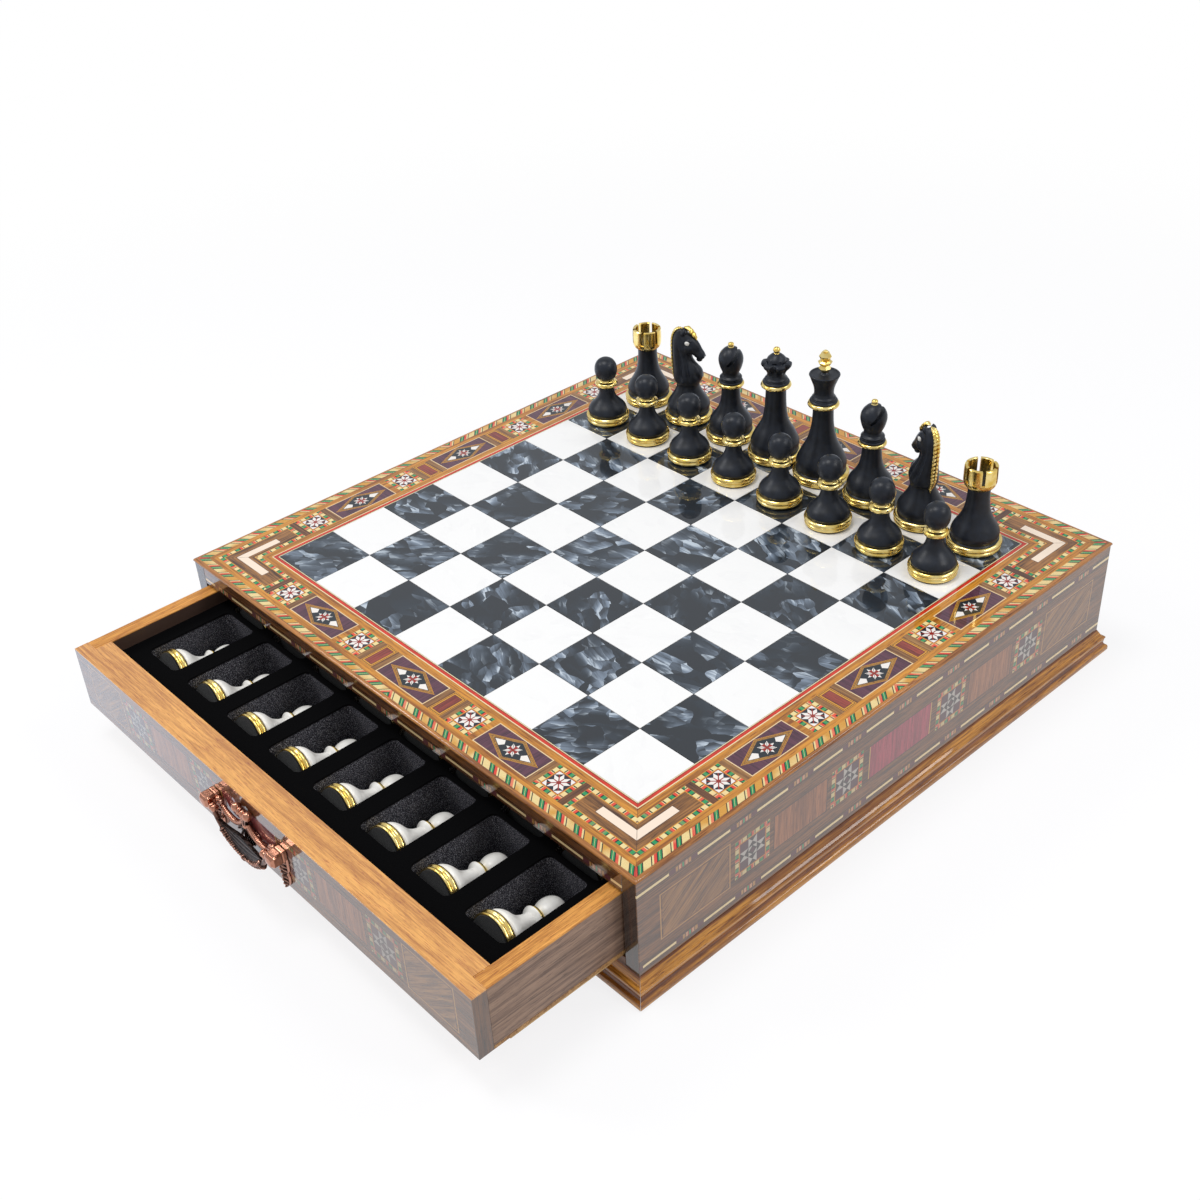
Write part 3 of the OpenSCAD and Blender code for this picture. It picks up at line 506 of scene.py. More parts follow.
def panel_front(shade, s, z, depth, length, with_bands):
    """The long veneered faces: greyish walnut, four mosaics, two pale panels, a
    rose panel, framed walnut ends, and on the case two dashed bands."""
    ground, lines = grain(shade, s, z, depth, paint("8c5a2e"), paint("42210e"), 1.5, 1.7)
    pale, _ = grain(shade, z, s, depth, paint("a8683c"), paint("74421f"), 1.6, 1.3, 3.0)
    rose, _ = grain(shade, z, s, depth, paint("b23c50"), paint("7c2636"), 2.2, 1.2, 5.0)
    slant, _ = grain(shade, s * 0.8 + z * 0.6, z * 0.8 - s * 0.6, depth, paint("a4723c"),
                     paint("5a3212"), 2.4, 1.1, 7.0)
    along, up = abs(s), z - 46.1
    half = 11.6
    near = abs(abs(along - 81.4) - 36.7)
    ends = (along.within(136.0, length - 16.5)) * (abs(up) < half + 2)
    frame_u = abs(along - (136.0 + length - 16.5) / 2) - (length - 152.5) / 2
    rim = frame_u.high(abs(up) - half - 2)
    colour = shade.lay(
        ground, (ends, slant), (abs(rim - 1.4) < 0.35, paint("b8864a")),
        (along.within(61.0, 102.0) * (abs(up) < half), pale),
        ((abs(abs(along - 81.5) - 20.5) < 0.3) * (abs(up) < half), WALNUT_DARK),
        ((along < 26.0) * (abs(up) < half), rose),
        ((abs(along - 26.3) < 0.35) * (abs(up) < half), paint("c79a55")),
        ((abs(abs(up) - half) < 0.3) * (along < 102.0), WALNUT_DARK),
        # The mosaics' painted reflection haze: 0.3 on the case, 0.55 on the drawer fronts.
        ((near < 12.8) * (abs(up) < 12.8), mosaic(shade, along_local(along), up,
                                                  0.3 if with_bands else 0.55)))
    if with_bands:
        for middle, shift in ((70.3, 0.0), (21.4, 3.7)):
            blocks = shade.strips(s + 157.2 + 422.0 - shift, (22.7, paint("f0d6a0")),
                                  (4.5, paint("5c2c30")), (1.5, paint("b08048")),
                                  (0.6, paint("3a1a10")), (1.6, paint("c89470")),
                                  (0.6, paint("a0282c")), (1.6, paint("3f8a5c")),
                                  (0.6, paint("a0282c")), (1.6, paint("c89470")),
                                  (0.6, paint("3a1a10")), (1.8, paint("b08048")),
                                  (4.5, paint("5c2c30")))
            bar = ((s + 157.2 + 422.0 - shift) % 42.2) < 22.7
            colour = shade.lay(colour, (abs(abs(z - middle) - 2.6) < 0.3, paint("3c2010")),
                               (abs(z - middle) < 1.9, paint("4a2a14")),
                               (abs(z - middle) < bar.pick(0.85, 1.5), blocks))
    return colour, lines


def along_local(along):
    """Where a point lies from the middle of the nearer of the two mosaics."""
    return abs(along - 81.4) - 36.7


def side_wood():
    shade = Shade("side_marquetry", SATIN)
    x, y, z = shade.place()
    face, lines = panel_front(shade, y, z, x, CASE_HALF, True)
    plain, _ = grain(shade, z, y, x, paint("3e1e08"), paint("180a02"), 1.4, 1.1)
    colour = shade.mix(abs(x) > CASE_HALF - 0.7, plain, face)
    return shade.feed("Base Color", colour).relief(lines, 0.03).material


def rail_wood():
    shade = Shade("rail_marquetry", SATIN)
    x, y, z = shade.place()
    face, lines = panel_front(shade, x, z, y, CASE_HALF, True)
    plain, _ = grain(shade, x, z, y, paint("6a3f1e"), paint("341c0c"), 1.2, 1.1)
    colour = shade.mix((abs(y) > CASE_HALF - 0.7), plain, face)
    return shade.feed("Base Color", colour).relief(lines, 0.03).material


def face_wood():
    """The drawers' front boards: veneered outside, honey wood on top and inside."""
    shade = Shade("drawer_front_marquetry", SATIN)
    x, y, z = shade.place()
    face, lines = panel_front(shade, x, z, y, 188.0, False)
    # Painted shade and reflection of the pull: the face is darkened behind it, over the rose
    # panel.
    face = shade.mix((abs(x) < 26.0) * 0.55, face, paint("6a4030"))
    honey, _ = grain(shade, x, y, z, paint("f6b254"), paint("b87424"), 1.2, 2.4, 2.0)
    end_grain, _ = grain(shade, z, x, y, paint("74481f"), paint("3f220c"), 1.0, 1.6, 1.0)
    top = z > DRAWER_TOP - 0.7
    shell = shade.mix(abs(x) > 186.3, face, end_grain)
    outside = (abs(abs(y) - CASE_HALF - DRAWER_OPEN) < 0.7).high(
        abs(abs(y) - CASE_HALF) < 0.7).high(abs(x) > 186.3)
    colour = shade.lay(honey, (outside, shell), (top, honey))
    return shade.feed("Base Color", colour).relief(lines, 0.03).material


def board_wood():
    """Drawer sides and backs: brown faces, darker inner faces (a darker wood with the shade over
    the tray painted in), honey top edges.
    """
    shade = Shade("drawer_board_wood", {"Roughness": 0.5, "Coat Weight": 0.25,
                                        "Coat Roughness": 0.3})
    x, y, z = shade.place()
    brown, lines = grain(shade, y, z, x, paint("a4846e"), paint("6a4e3e"), 1.0, 1.6)
    honey, _ = grain(shade, y, x, z, paint("eeaa50"), paint("b06e22"), 1.2, 2.4, 2.0)
    # Inner faces darker: partly a darker wood, partly painted shade that falls over the tray.
    inner = abs(x) < 178.6
    brown = shade.mix(inner, brown, paint("4b382f"))
    colour = shade.mix(z > DRAWER_TOP - 0.7, brown, honey)
    return shade.feed("Base Color", colour).relief(lines, 0.04).material


def plain_wood(name, light, dark, run, finish, figure=1.0, fine=1.0, shaded_cove=None):
    """Solid wood with its grain along x, y, or round the case's four sides; a
    span of heights may be given, darkened there as painted shade, with a painted shadow line just
    under the case's side."""
    shade = Shade(name, finish)
    x, y, z = shade.place()
    if run == "round":
        _, _, along, side = folded(x, y)
    else:
        along, side = (x, y) if run == "x" else (y, x)
    colour, lines = grain(shade, along, side, z, light, dark, figure, fine)
    if shaded_cove:
        low, high = shaded_cove
        # Painted shade: the cove is darkened, and a painted shadow line runs along the top where
        # the moulding meets the side.
        depth = (z.ease(low, low + 1.5) * (1 - z.ease(high - 1.5, high))).high(
            z.ease(14.9, 15.5))
        colour = shade.mix(depth * 0.8, colour, dark, "MULTIPLY")
    return shade.feed("Base Color", colour).relief(lines, 0.03).material


def velvet():
    """Flocked foam: near black on top, a grey nap in the pockets, with its glitter's sparkle
    painted in as pale specks.
    """
    shade = Shade("tray_velvet", {"Roughness": 0.95, "Specular IOR Level": 0.05})
    x, y, z = shade.place()
    nap = shade.cloud(shade.spot(x, y, z), 1.1, 4.0, 0.7)
    # Painted glints: the glitter's sparkle laid into the felt colour as pale specks.
    glint_specks = shade.cloud(shade.spot(x, y, z), 2.2, 1.0, 0.5).ease(0.57, 0.65)
    pocket = 1 - z.ease(TRAY_TOP - 2.0, TRAY_TOP - 0.6)
    felt = shade.mix(nap.ease(0.3, 0.7), paint("25252a"), paint("4a4a52"))
    felt = shade.mix(glint_specks * 0.8, felt, paint("b0b0b8"))
    colour = shade.mix(pocket, paint("050506"), felt)
    return shade.feed("Base Color", colour).relief(nap, 0.35).material


def gold():
    shade = Shade("polished_gilding", {"Metallic": 1.0})
    x, y, z = shade.place()
    wave = shade.cloud(shade.spot(x, y, z), 0.18, 3.0)
    fine = shade.cloud(shade.spot(x, y, z), 1.4, 2.0)
    colour = shade.mix(wave.ease(0.3, 0.7), paint("e0bc5c"), paint("f4dc94"))
    shade.feed("Roughness", 0.16 + fine * 0.1)
    return shade.feed("Base Color", colour).relief(wave, 0.05).material


def lacquered(name, light, dark, rough, specular):
    """Soft lacquer over a casting, with a faint mottle in colour and gloss."""
    shade = Shade(name, {"Specular IOR Level": specular})
    x, y, z = shade.place()
    mottle = shade.cloud(shade.spot(x, y, z), 0.22, 4.0)
    fine = shade.cloud(shade.spot(x, y, z), 3.0, 2.0)
    shade.feed("Roughness", rough + mottle * 0.12)
    shade.relief(fine, 0.015)
    return shade.feed("Base Color", shade.mix(mottle.ease(0.3, 0.7), dark, light)).material


def felt(name, light, dark):
    shade = Shade(name, {"Roughness": 0.95, "Sheen Weight": 0.2, "Specular IOR Level": 0.1})
    x, y, z = shade.place()
    nap = shade.cloud(shade.spot(x, y, z), 1.3, 5.0, 0.7)
    return shade.feed("Base Color", shade.mix(nap.ease(0.3, 0.7), dark, light)).relief(
        nap, 0.2).material


def copper(name, hollow, worn, rough, level):
    """Antique copper: dark in the hollows, bright where hands polish it; level
    is how far a surface has to stand out to count as worn."""
    shade = Shade(name, {"Metallic": 1.0})
    x, y, z = shade.place()
    edge = shade.node("NewGeometry", out="Pointiness").ease(level, level + 0.07)
    patina = shade.cloud(shade.spot(x, y, z), 0.6, 4.0, 0.6)
    share = (edge * 0.85 + patina.ease(0.4, 0.7) * 0.3).low(1.0)
    shade.feed("Roughness", rough + 0.14 - share * 0.14)
    shade.relief(patina, 0.08)
    return shade.feed("Base Color", shade.mix(share, hollow, worn)).material


def steel():
    shade = Shade("screw_steel", {"Metallic": 1.0})
    x, y, z = shade.place()
    brushed = shade.cloud(shade.spot(x * 3.0, y * 0.2, z * 3.0), 1.0, 3.0)
    shade.feed("Roughness", 0.25 + brushed * 0.2)
    return shade.feed("Base Color", shade.mix(brushed, paint("8f9296"), paint("c9ccd0"))).material


GILT = gold()
BLACK = lacquered("black_lacquer", paint("1c212b"), paint("14171e"), 0.33, 0.32)
WHITE = lacquered("white_lacquer", paint("f7f6f2"), paint("eeece7"), 0.25, 0.5)
FELT = felt("foot_felt", paint("15171a"), paint("08090a"))
EYE = lacquered("pearl_eye", paint("f3f2ee"), paint("dcdad5"), 0.08, 0.6)
COPPER = copper("polished_copper", paint("6a3a2c"), paint("bc846c"), 0.13, 0.455)
ANTIQUE = copper("antique_copper", paint("120807"), paint("c89480"), 0.16, 0.497)
TARNISH = copper("tarnished_copper", paint("0c0807"), paint("6a5650"), 0.24, 0.49)


# ------------------------------------------------------- shapes from formulas


class Form:
    """Corners in mm, faces, and the number of each face's finish."""

    def __init__(self, corners, faces, finish=0):
        self.corners = np.asarray(corners, float)
        self.faces = faces
        self.finish = np.zeros(len(faces), int) + finish

    def moved(self, matrix):
        turn = np.array(matrix)
        return Form(self.corners @ turn[:3, :3].T + turn[:3, 3], self.faces, self.finish)


def joined(forms):
    corners, faces, finish, start = [], [], [], 0
    for form in forms:
        corners.append(form.corners)
        faces += [[start + i for i in face] for face in form.faces]
        finish.append(form.finish)
        start += len(form.corners)
    return Form(np.vstack(corners), faces, np.concatenate(finish))


def curve(points, steps=4):
    """A smooth line through points: each span is the cubic that also looks at
    the point before it and the point after it."""
    p = np.array(points, float)
    ends = np.vstack([p[:1], p, p[-1:]])
    a, b, c, d = (ends[i:i + len(p) - 1, None, :] for i in range(4))
    t = np.linspace(0, 1, steps, endpoint=False)[None, :, None]
    spans = (2 * b + (c - a) * t + (2 * a - 5 * b + 4 * c - d) * t ** 2
             + (3 * b - a - 3 * c + d) * t ** 3) / 2
    return np.vstack([spans.reshape(-1, p.shape[1]), p[-1:]])


def skin(rows, columns, wrap=True):
    """The four-cornered faces of a grid of points, closed round its columns."""
    i, j = np.meshgrid(np.arange(rows - 1), np.arange(columns - (0 if wrap else 1)),
                       indexing="ij")
    k = (j + 1) % columns
    return np.stack([i * columns + j, i * columns + k, (i + 1) * columns + k,
                     (i + 1) * columns + j], -1).reshape(-1, 4)


def turned(strokes, sides=72, steps=4, wave=None):
    """Lathe work: each stroke is a smooth outline of radius against height,
    carried round Z; wave may change a radius by height and angle."""
    line, owner = [], []
    for finish, points in strokes:
        stroke = curve(points, steps) if len(points) > 2 else np.array(points, float)
        line.append(stroke if not line else stroke[1:])
        owner += [finish] * (len(stroke) - 1)
    line = np.vstack(line)
    angle = np.linspace(0, 2 * math.pi, sides, endpoint=False)[None, :]
    radius, height = line[:, :1] + 0 * angle, line[:, 1:] + 0 * angle
    if wave:
        radius = wave(radius, height, angle)
    corners = np.stack([radius * np.cos(angle), radius * np.sin(angle), height], -1)
    return Form(corners.reshape(-1, 3), skin(len(line), sides).tolist(),
                np.repeat(owner, sides))


def swept(path, half_width, half_depth, sides=32, side=(0, 1, 0), relief=None, finish=0):
    """A section carried along a path: at each point an oval across the path,
    half_width towards side and half_depth square to both; relief(u, angle)
    adds to the size of the oval. It ends where its size runs to nothing."""
    path = np.asarray(path, float)
    ahead = np.gradient(path, axis=0)
    ahead /= np.linalg.norm(ahead, axis=1, keepdims=True)
    across = np.zeros_like(path) + np.array(side, float)
    up = np.cross(ahead, across)
    up /= np.linalg.norm(up, axis=1, keepdims=True)
    angle = np.linspace(0, 2 * math.pi, sides, endpoint=False)
    u = np.linspace(0, 1, len(path))[:, None] + 0 * angle[None, :]
    more = relief(u, angle[None, :] + 0 * u) if relief else 0.0
    width = (np.asarray(half_width)[:, None] + more) * np.sin(angle)
    depth = (np.asarray(half_depth)[:, None] + more) * np.cos(angle)
    corners = path[:, None, :] + across[:, None, :] * width[..., None] \
        + up[:, None, :] * depth[..., None]
    return Form(corners.reshape(-1, 3), skin(len(path), sides).tolist(), finish)


def ball(centre, radii, finish=0, sides=20):
    """An oval ball: sines and cosines of two angles, stretched along the axes."""
    form = turned([(finish, [(math.sin(t), -math.cos(t))
                             for t in np.linspace(0, math.pi, sides // 2 + 1)])], sides, 1)
    form.corners = form.corners * np.array(radii) + np.array(centre)
    return form


def piece(form, name, body, nodes, finishes, sharp=35, tidy=True):
    """Puts a form into a mesh, closes its seams, and stands it for its nodes."""
    mesh = bpy.data.meshes.new(name)
    mesh.from_pydata((form.corners * MM).tolist(), [], form.faces)
    mesh.polygons.foreach_set("material_index", form.finish.astype(np.int32))
    mesh.polygons.foreach_set("use_smooth", np.ones(len(mesh.polygons), bool))
    for finish in finishes:
        mesh.materials.append(finish)
    if tidy:
        work = bmesh.new()
        work.from_mesh(mesh)
        bmesh.ops.remove_doubles(work, verts=work.verts, dist=2e-6)
        bmesh.ops.recalc_face_normals(work, faces=work.faces)
        work.to_mesh(mesh)
        work.free()
    mesh.set_sharp_from_angle(angle=math.radians(sharp))
    made = bpy.data.objects.new(name, mesh)
    bpy.context.scene.collection.objects.link(made)
    if body:
        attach(made, body)
    if nodes:
        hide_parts(*nodes)
    return made


def finished(made):
    """The mesh of an object with its modifiers worked in, as a form."""
    bpy.context.view_layer.update()
    mesh = bpy.data.meshes.new_from_object(
        made.evaluated_get(bpy.context.evaluated_depsgraph_get()))
    corners = np.zeros(len(mesh.vertices) * 3)
    mesh.vertices.foreach_get("co", corners)
    finish = np.zeros(len(mesh.polygons), np.int32)
    mesh.polygons.foreach_get("material_index", finish)
    form = Form(corners.reshape(-1, 3) / MM, [list(f.vertices) for f in mesh.polygons], finish)
    bpy.data.meshes.remove(mesh)
    bpy.data.objects.remove(made)
    return form


def eased(node, width, material, segments=2):
    """A copy of a board with its triangles joined into whole faces and its
    edges rounded over, which stands for the board."""
    work = bmesh.new()
    work.from_mesh(NODES[node].data)
    bmesh.ops.remove_doubles(work, verts=work.verts, dist=1e-6)
    bmesh.ops.dissolve_limit(work, angle_limit=math.radians(0.5), verts=work.verts,
                             edges=work.edges)
    mesh = bpy.data.meshes.new(node + "_eased")
    work.to_mesh(mesh)
    work.free()
    mesh.materials.clear()
    mesh.materials.append(material)
    mesh.polygons.foreach_set("material_index", np.zeros(len(mesh.polygons), np.int32))
    mesh.polygons.foreach_set("use_smooth", np.ones(len(mesh.polygons), bool))
    mesh.set_sharp_from_angle(angle=math.radians(30))
    made = bpy.data.objects.new(node + "_eased", mesh)
    bpy.context.scene.collection.objects.link(made)
    bevel = made.modifiers.new("eased", "BEVEL")
    bevel.width, bevel.segments = width * MM, segments
    bevel.limit_method, bevel.angle_limit = "ANGLE", math.radians(30)
    bevel.harden_normals = True
    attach(made, NODES[node]["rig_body"])
    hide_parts(node)
    return made


def dressed(material, *nodes):
    """Gives nodes that keep their own shape a new material."""
    for node in nodes:
        mesh = NODES[node].data
        mesh.materials.clear()
        mesh.materials.append(material)


# --------------------------------------------------------------------- men

GOLD, BODY, LINE, CLOTH, PEARL, COLLAR, RING = range(7)


def foot(r):
    """The gilded foot every man stands on: felt, a low band, a groove, a bead."""
    return [
        (CLOTH, [(0, 0), (r - 1.4, 0)]), (CLOTH, [(r - 1.4, 0), (r - 1.4, 0.8)]),
        (GOLD, [(r - 1.4, 0.8), (r - 0.95, 0.8)]),
        (GOLD, [(r - 0.95, 0.8), (r - 0.4, 1.3), (r - 0.35, 2.2), (r - 0.75, 2.9)]),
        (GOLD, [(r - 0.75, 2.9), (r - 0.95, 3.15), (r - 0.7, 3.45)]),
        (GOLD, [(r - 0.7, 3.45), (r - 0.1, 4.0), (r, 4.8), (r - 0.35, 5.6), (r - 1.1, 6.2),
                (r - 2.0, 6.4)]),
    ]


BLACK_SET = [GILT, BLACK, BLACK, FELT, EYE, GILT, BLACK]
WHITE_SET = [GILT, WHITE, BLACK, FELT, BLACK, WHITE, GILT]


def pawn():
    return turned(foot(14.9) + [
        (LINE, [(12.9, 6.4), (12.9, 7.0)]),
        (BODY, [(12.9, 7.0), (13.5, 8.4), (12.9, 10.4), (11.6, 12.4), (8.9, 15.2), (6.6, 18.2),
                (5.3, 22), (5.1, 25.6)]),
        (COLLAR, [(5.1, 25.6), (5.9, 26.1), (7.2, 27.0), (7.6, 27.9)]),
        (GOLD, [(7.6, 27.9), (7.7, 28.6), (7.2, 29.5), (6.4, 29.9)]),
        (GOLD, [(6.4, 29.9), (5.3, 30.4), (4.9, 31.4)]),
        (BODY, [(4.9, 31.4), (6.5, 33.4), (7.6, 36.6), (7.75, 39.6), (7.2, 42.4), (5.7, 44.9),
                (3.2, 46.6), (0, 47)])])


def merlon(middle, r_in, r_out, z_in, z_out, gap):
    """One tooth of the rook's crown: a wall section carried round an arc, with
    its ends cut parallel to the slots beside it."""
    ring = np.array([(r_out, z_in), (r_out + 0.05, (z_in + z_out) / 2), (r_out - 0.1, z_out - 0.4),
                     (r_out - 0.45, z_out), (r_in + 0.3, z_out), (r_in, z_out - 0.3),
                     (r_in, z_in)])
    reach = math.pi / 6 - np.arcsin(gap / ring[:, 0])
    u = np.linspace(-1, 1, 13)[:, None]
    angle = middle + reach[None, :] * u
    corners = np.stack([ring[:, 0] * np.cos(angle), ring[:, 0] * np.sin(angle),
                        ring[:, 1] + 0 * angle], -1).reshape(-1, 3)
    last = 12 * len(ring)
    caps = [list(range(len(ring))), [last + i for i in range(len(ring))]]
    return Form(corners, skin(13, len(ring)).tolist() + caps, GOLD)


def rook():
    body = turned(foot(16.7) + [
        (LINE, [(14.7, 6.4), (14.0, 7.2)]),
        (BODY, [(14.0, 7.2), (14.6, 10.2), (14.2, 12.4), (12.8, 15.4), (10.1, 20), (8.1, 25),
                (7.2, 30), (6.7, 36), (6.7, 40.4)]),
        (GOLD, [(6.7, 40.4), (7.6, 41.2), (8.7, 42.2), (9.5, 43.6), (9.9, 45.4)]),
        (GOLD, [(9.9, 45.4), (7.8, 45.4)]), (LINE, [(7.8, 45.4), (0, 45.4)])])
    return joined([body] + [merlon(math.radians(45 + 60 * k), 7.8, 9.9, 45.3, 55.5, 0.95)
                            for k in range(6)])


def bishop():
    r = 16.9
    body = turned(foot(r) + [
        (LINE, [(14.9, 6.4), (14.2, 7.2)]),
        (BODY, [(14.2, 7.2), (14.7, 10.8), (14.2, 13.2), (12.9, 16), (10, 20), (7.6, 25),
                (6.6, 30), (6.1, 36), (6.1, 38.8)]),
        (COLLAR, [(6.1, 38.8), (7.4, 39.0), (8.7, 39.7), (9.0, 40.6), (8.5, 41.5), (7.6, 41.9)]),
        (RING, [(7.6, 41.9), (8.1, 42.4), (7.6, 43.2)]), (BODY, [(7.6, 43.2), (6.7, 43.5),
                                                                (6.5, 44.1)]),
        (BODY, [(6.5, 44.1), (7.4, 44.7), (7.3, 45.5), (6.0, 46.6)]),
        (BODY, [(6.0, 46.6), (5.7, 48.8), (7.2, 52.4), (8.3, 57.6), (7.4, 62), (4.6, 65.4),
                (2, 66.7)]),
        (GOLD, [(2, 66.7), (1.8, 67.3), (2.0, 68.4), (1.6, 69.5), (0, 70)])])
    made = piece(body, "mitre_blank", None, (), BLACK_SET)
    slab = turned([(BODY, [(0, -1), (1, -1)]), (BODY, [(1, -1), (1, 1)]),
                   (BODY, [(1, 1), (0, 1)])], 4)
    slab.corners *= np.array([12.0, 40.0, 1.0])
    slab.corners[:, 2] *= 0.65 + 0.064 * (slab.corners[:, 0] + 12.0)
    spin = Matrix.Translation((0, 0, 58.9)) @ Matrix.Rotation(math.radians(-47), 4, "Y") \
        @ Matrix.Translation((5.5, 0, 0))
    saw = piece(slab.moved(spin), "saw", None, (), [GILT, BLACK])
    cut = made.modifiers.new("slot", "BOOLEAN")
    cut.object, cut.operation, cut.solver = saw, "DIFFERENCE", "EXACT"
    form = finished(made)
    bpy.data.objects.remove(saw)
    return form


def queen():
    def scallops(radius, height, angle):
        """Six round bites out of the crown's rim."""
        bite = np.cos(3 * angle) ** 2
        bite = np.clip((bite - 0.62) / 0.38, 0, 1) ** 0.7
        level = np.clip((height - 61.5) / 4.0, 0, 1) * np.clip((70.2 - height) / 1.6, 0, 1)
        return radius - 2.4 * bite * level

    return turned(foot(18.0) + [
        (LINE, [(16.0, 6.4), (15.6, 7.2)]),
        (BODY, [(15.6, 7.2), (16.2, 11.4), (15.4, 14.6), (12.9, 20), (10, 25), (8.2, 30),
                (7.1, 38), (6.7, 48), (6.8, 51.4)]),
        (COLLAR, [(6.8, 51.4), (8.4, 51.6), (9.8, 52.4), (10.0, 53.4), (9.4, 54.4), (8.6, 54.8)]),
        (RING, [(8.6, 54.8), (8.9, 55.3), (8.2, 56.2)]), (BODY, [(8.2, 56.2), (7.3, 56.5),
                                                                (7.1, 57.1)]),
        (BODY, [(7.1, 57.1), (7.5, 57.6), (6.6, 58.6)]),
        (BODY, [(6.6, 58.6), (5.9, 60.6), (7.0, 63.4), (9.4, 66.2), (9.95, 67.6), (9.4, 68.8),
                (7.6, 69.4)]),
        (BODY, [(7.6, 69.4), (6.6, 69.2), (6.3, 70.2)]),
        (BODY, [(6.3, 70.2), (5.9, 71.8), (3.6, 74), (1.8, 74.9)]),
        (GOLD, [(1.8, 74.9), (1.6, 75.5), (2.4, 77.0), (1.7, 78.8), (0, 79.5)])],
        96, 4, scallops)


def king():
    body = turned(foot(18.4) + [
        (LINE, [(16.4, 6.4), (15.8, 7.2)]),
        (BODY, [(15.8, 7.2), (16.4, 11.6), (15.8, 14.6), (13.4, 20), (10.8, 25), (8.9, 30),
                (7.1, 39), (6.6, 49), (6.8, 51.6)]),
        (COLLAR, [(6.8, 51.6), (8.4, 51.8), (9.9, 52.6), (10.1, 53.7), (9.5, 54.7), (8.7, 55.1)]),
        (RING, [(8.7, 55.1), (9.0, 55.6), (8.3, 56.6)]), (BODY, [(8.3, 56.6), (7.4, 56.9),
                                                                (7.2, 57.5)]),
        (BODY, [(7.2, 57.5), (7.6, 58.0), (6.7, 59.0)]),
        (BODY, [(6.7, 59.0), (6.2, 61.4), (6.7, 65.4), (8.4, 70), (9.5, 72.8)]),
        (BODY, [(9.5, 72.8), (9.8, 73.5), (9.4, 74.1)]), (BODY, [(9.4, 74.1), (8.4, 74.2)]),
        (BODY, [(8.4, 74.2), (7.8, 73.7), (4.0, 73.9), (2.9, 74.6)]),
        (BODY, [(2.9, 74.6), (2.4, 75.4)]), (GOLD, [(2.4, 75.4), (0, 75.4)])])
    gems = [turned([(GOLD, [(0, low), (0.72 * r, low + 0.12 * (high - low))]),
                    (GOLD, [(0.72 * r, low + 0.12 * (high - low)), (r, (low + high) / 2)]),
                    (GOLD, [(r, (low + high) / 2), (0.66 * r, high - 0.14 * (high - low))]),
                    (GOLD, [(0.66 * r, high - 0.14 * (high - low)), (0, high)])], 7, 1)
            .moved(Matrix.Rotation(turn, 4, "Z"))
            for low, high, r, turn in ((75.2, 80.4, 4.0, 0.2), (79.8, 84.0, 4.7, 0.9),
                                       (83.2, 89.2, 4.1, 0.4), (88.4, 90.0, 1.7, 0.0))]
    return joined([body] + gems)


def carved(forms, voxel, rounds):
    """Rough forms run together into one body and smoothed, as carving is."""
    rough = piece(joined(forms), "carving", None, (), [BLACK])
    melt = rough.modifiers.new("melt", "REMESH")
    melt.mode, melt.voxel_size = "VOXEL", voxel * MM
    ease = rough.modifiers.new("ease", "SMOOTH")
    ease.factor, ease.iterations = 0.5, rounds
    return finished(rough)


def horse_head():
    """The knight's horse: a stack of ovals from chest to poll with slanting
    folds pressed into its sides, a head swept down to the muzzle, cheeks,
    brows, nostrils and ears, all run together."""
    stack = curve([(27.6, -0.3, 8.0, 7.9), (29.5, -0.4, 9.3, 8.5), (32.5, 0.0, 10.3, 8.7),
                   (37, -0.1, 10.2, 8.2), (41, -1.7, 8.8, 6.9), (44.6, -3.4, 7.3, 6.0),
                   (48, -4.0, 6.9, 5.4), (53, -4.0, 7.0, 5.0), (58, -4.4, 6.5, 4.6),
                   (62, -4.9, 5.2, 4.1), (65, -4.9, 3.6, 3.3), (66.8, -4.6, 1.8, 2.0),
                   (67.4, -4.5, 0, 0)], 5)
    stack = np.vstack([[27.6, -0.3, 0, 0], stack])
    z, middle, half_x, half_y = (stack[:, i:i + 1] for i in range(4))
    angle = np.linspace(0, 2 * math.pi, 64, endpoint=False)[None, :]
    x = middle + half_x * np.cos(angle)
    fold = sum(np.exp(-((x - start - (52 - z) * lean) / wide) ** 2)
               * np.clip((z - 30) / 5, 0, 1) * np.clip((top - z) / 6, 0, 1)
               for start, lean, wide, top in ((-5.6, 0.16, 1.15, 56), (-2.6, 0.32, 1.2, 53),
                                              (0.8, 0.42, 1.25, 48)))
    y = half_y * np.sin(angle) * (1 - 0.27 * fold)
    body = Form(np.stack([x, y, z + 0 * angle], -1).reshape(-1, 3),
                skin(len(stack), 64).tolist())
    line = curve([(-7.6, 0, 60.0), (-4.2, 0, 61.0), (0.2, 0, 58.2), (4.2, 0, 54.2),
                  (7.2, 0, 50.9), (9.6, 0, 48.7), (11.0, 0, 47.8), (12.0, 0, 47.2)], 4)
    size = curve([(0, 0), (3.9, 3.6), (5.4, 4.6), (5.0, 4.1), (4.0, 3.3), (3.3, 3.1),
                  (2.4, 2.6), (0, 0)], 4)
    parts = [body, swept(line, size[:, 1], size[:, 0], 32),
             ball((8.2, 0, 45.6), (2.2, 2.0, 1.5))]
    for s in (-1, 1):
        ear = curve([(-3.2, s * 2.0, 62.0), (-2.4, s * 2.5, 64.2), (-1.7, s * 2.8, 66.2),
                     (-1.2, s * 3.0, 67.9)], 4)
        wide = curve([(1.0, 0), (2.1, 0), (1.7, 0), (0, 0)], 4)[:, 0]
        parts += [ball((1.2, s * 2.6, 53.8), (4.3, 2.6, 4.2)),
                  ball((1.2, s * 3.1, 59.6), (2.8, 1.7, 1.3)),
                  ball((11.0, s * 1.7, 48.2), (1.4, 1.0, 1.1)),
                  swept(ear, wide, wide * 0.75, 16)]
    return carved(parts, 0.38, 4)


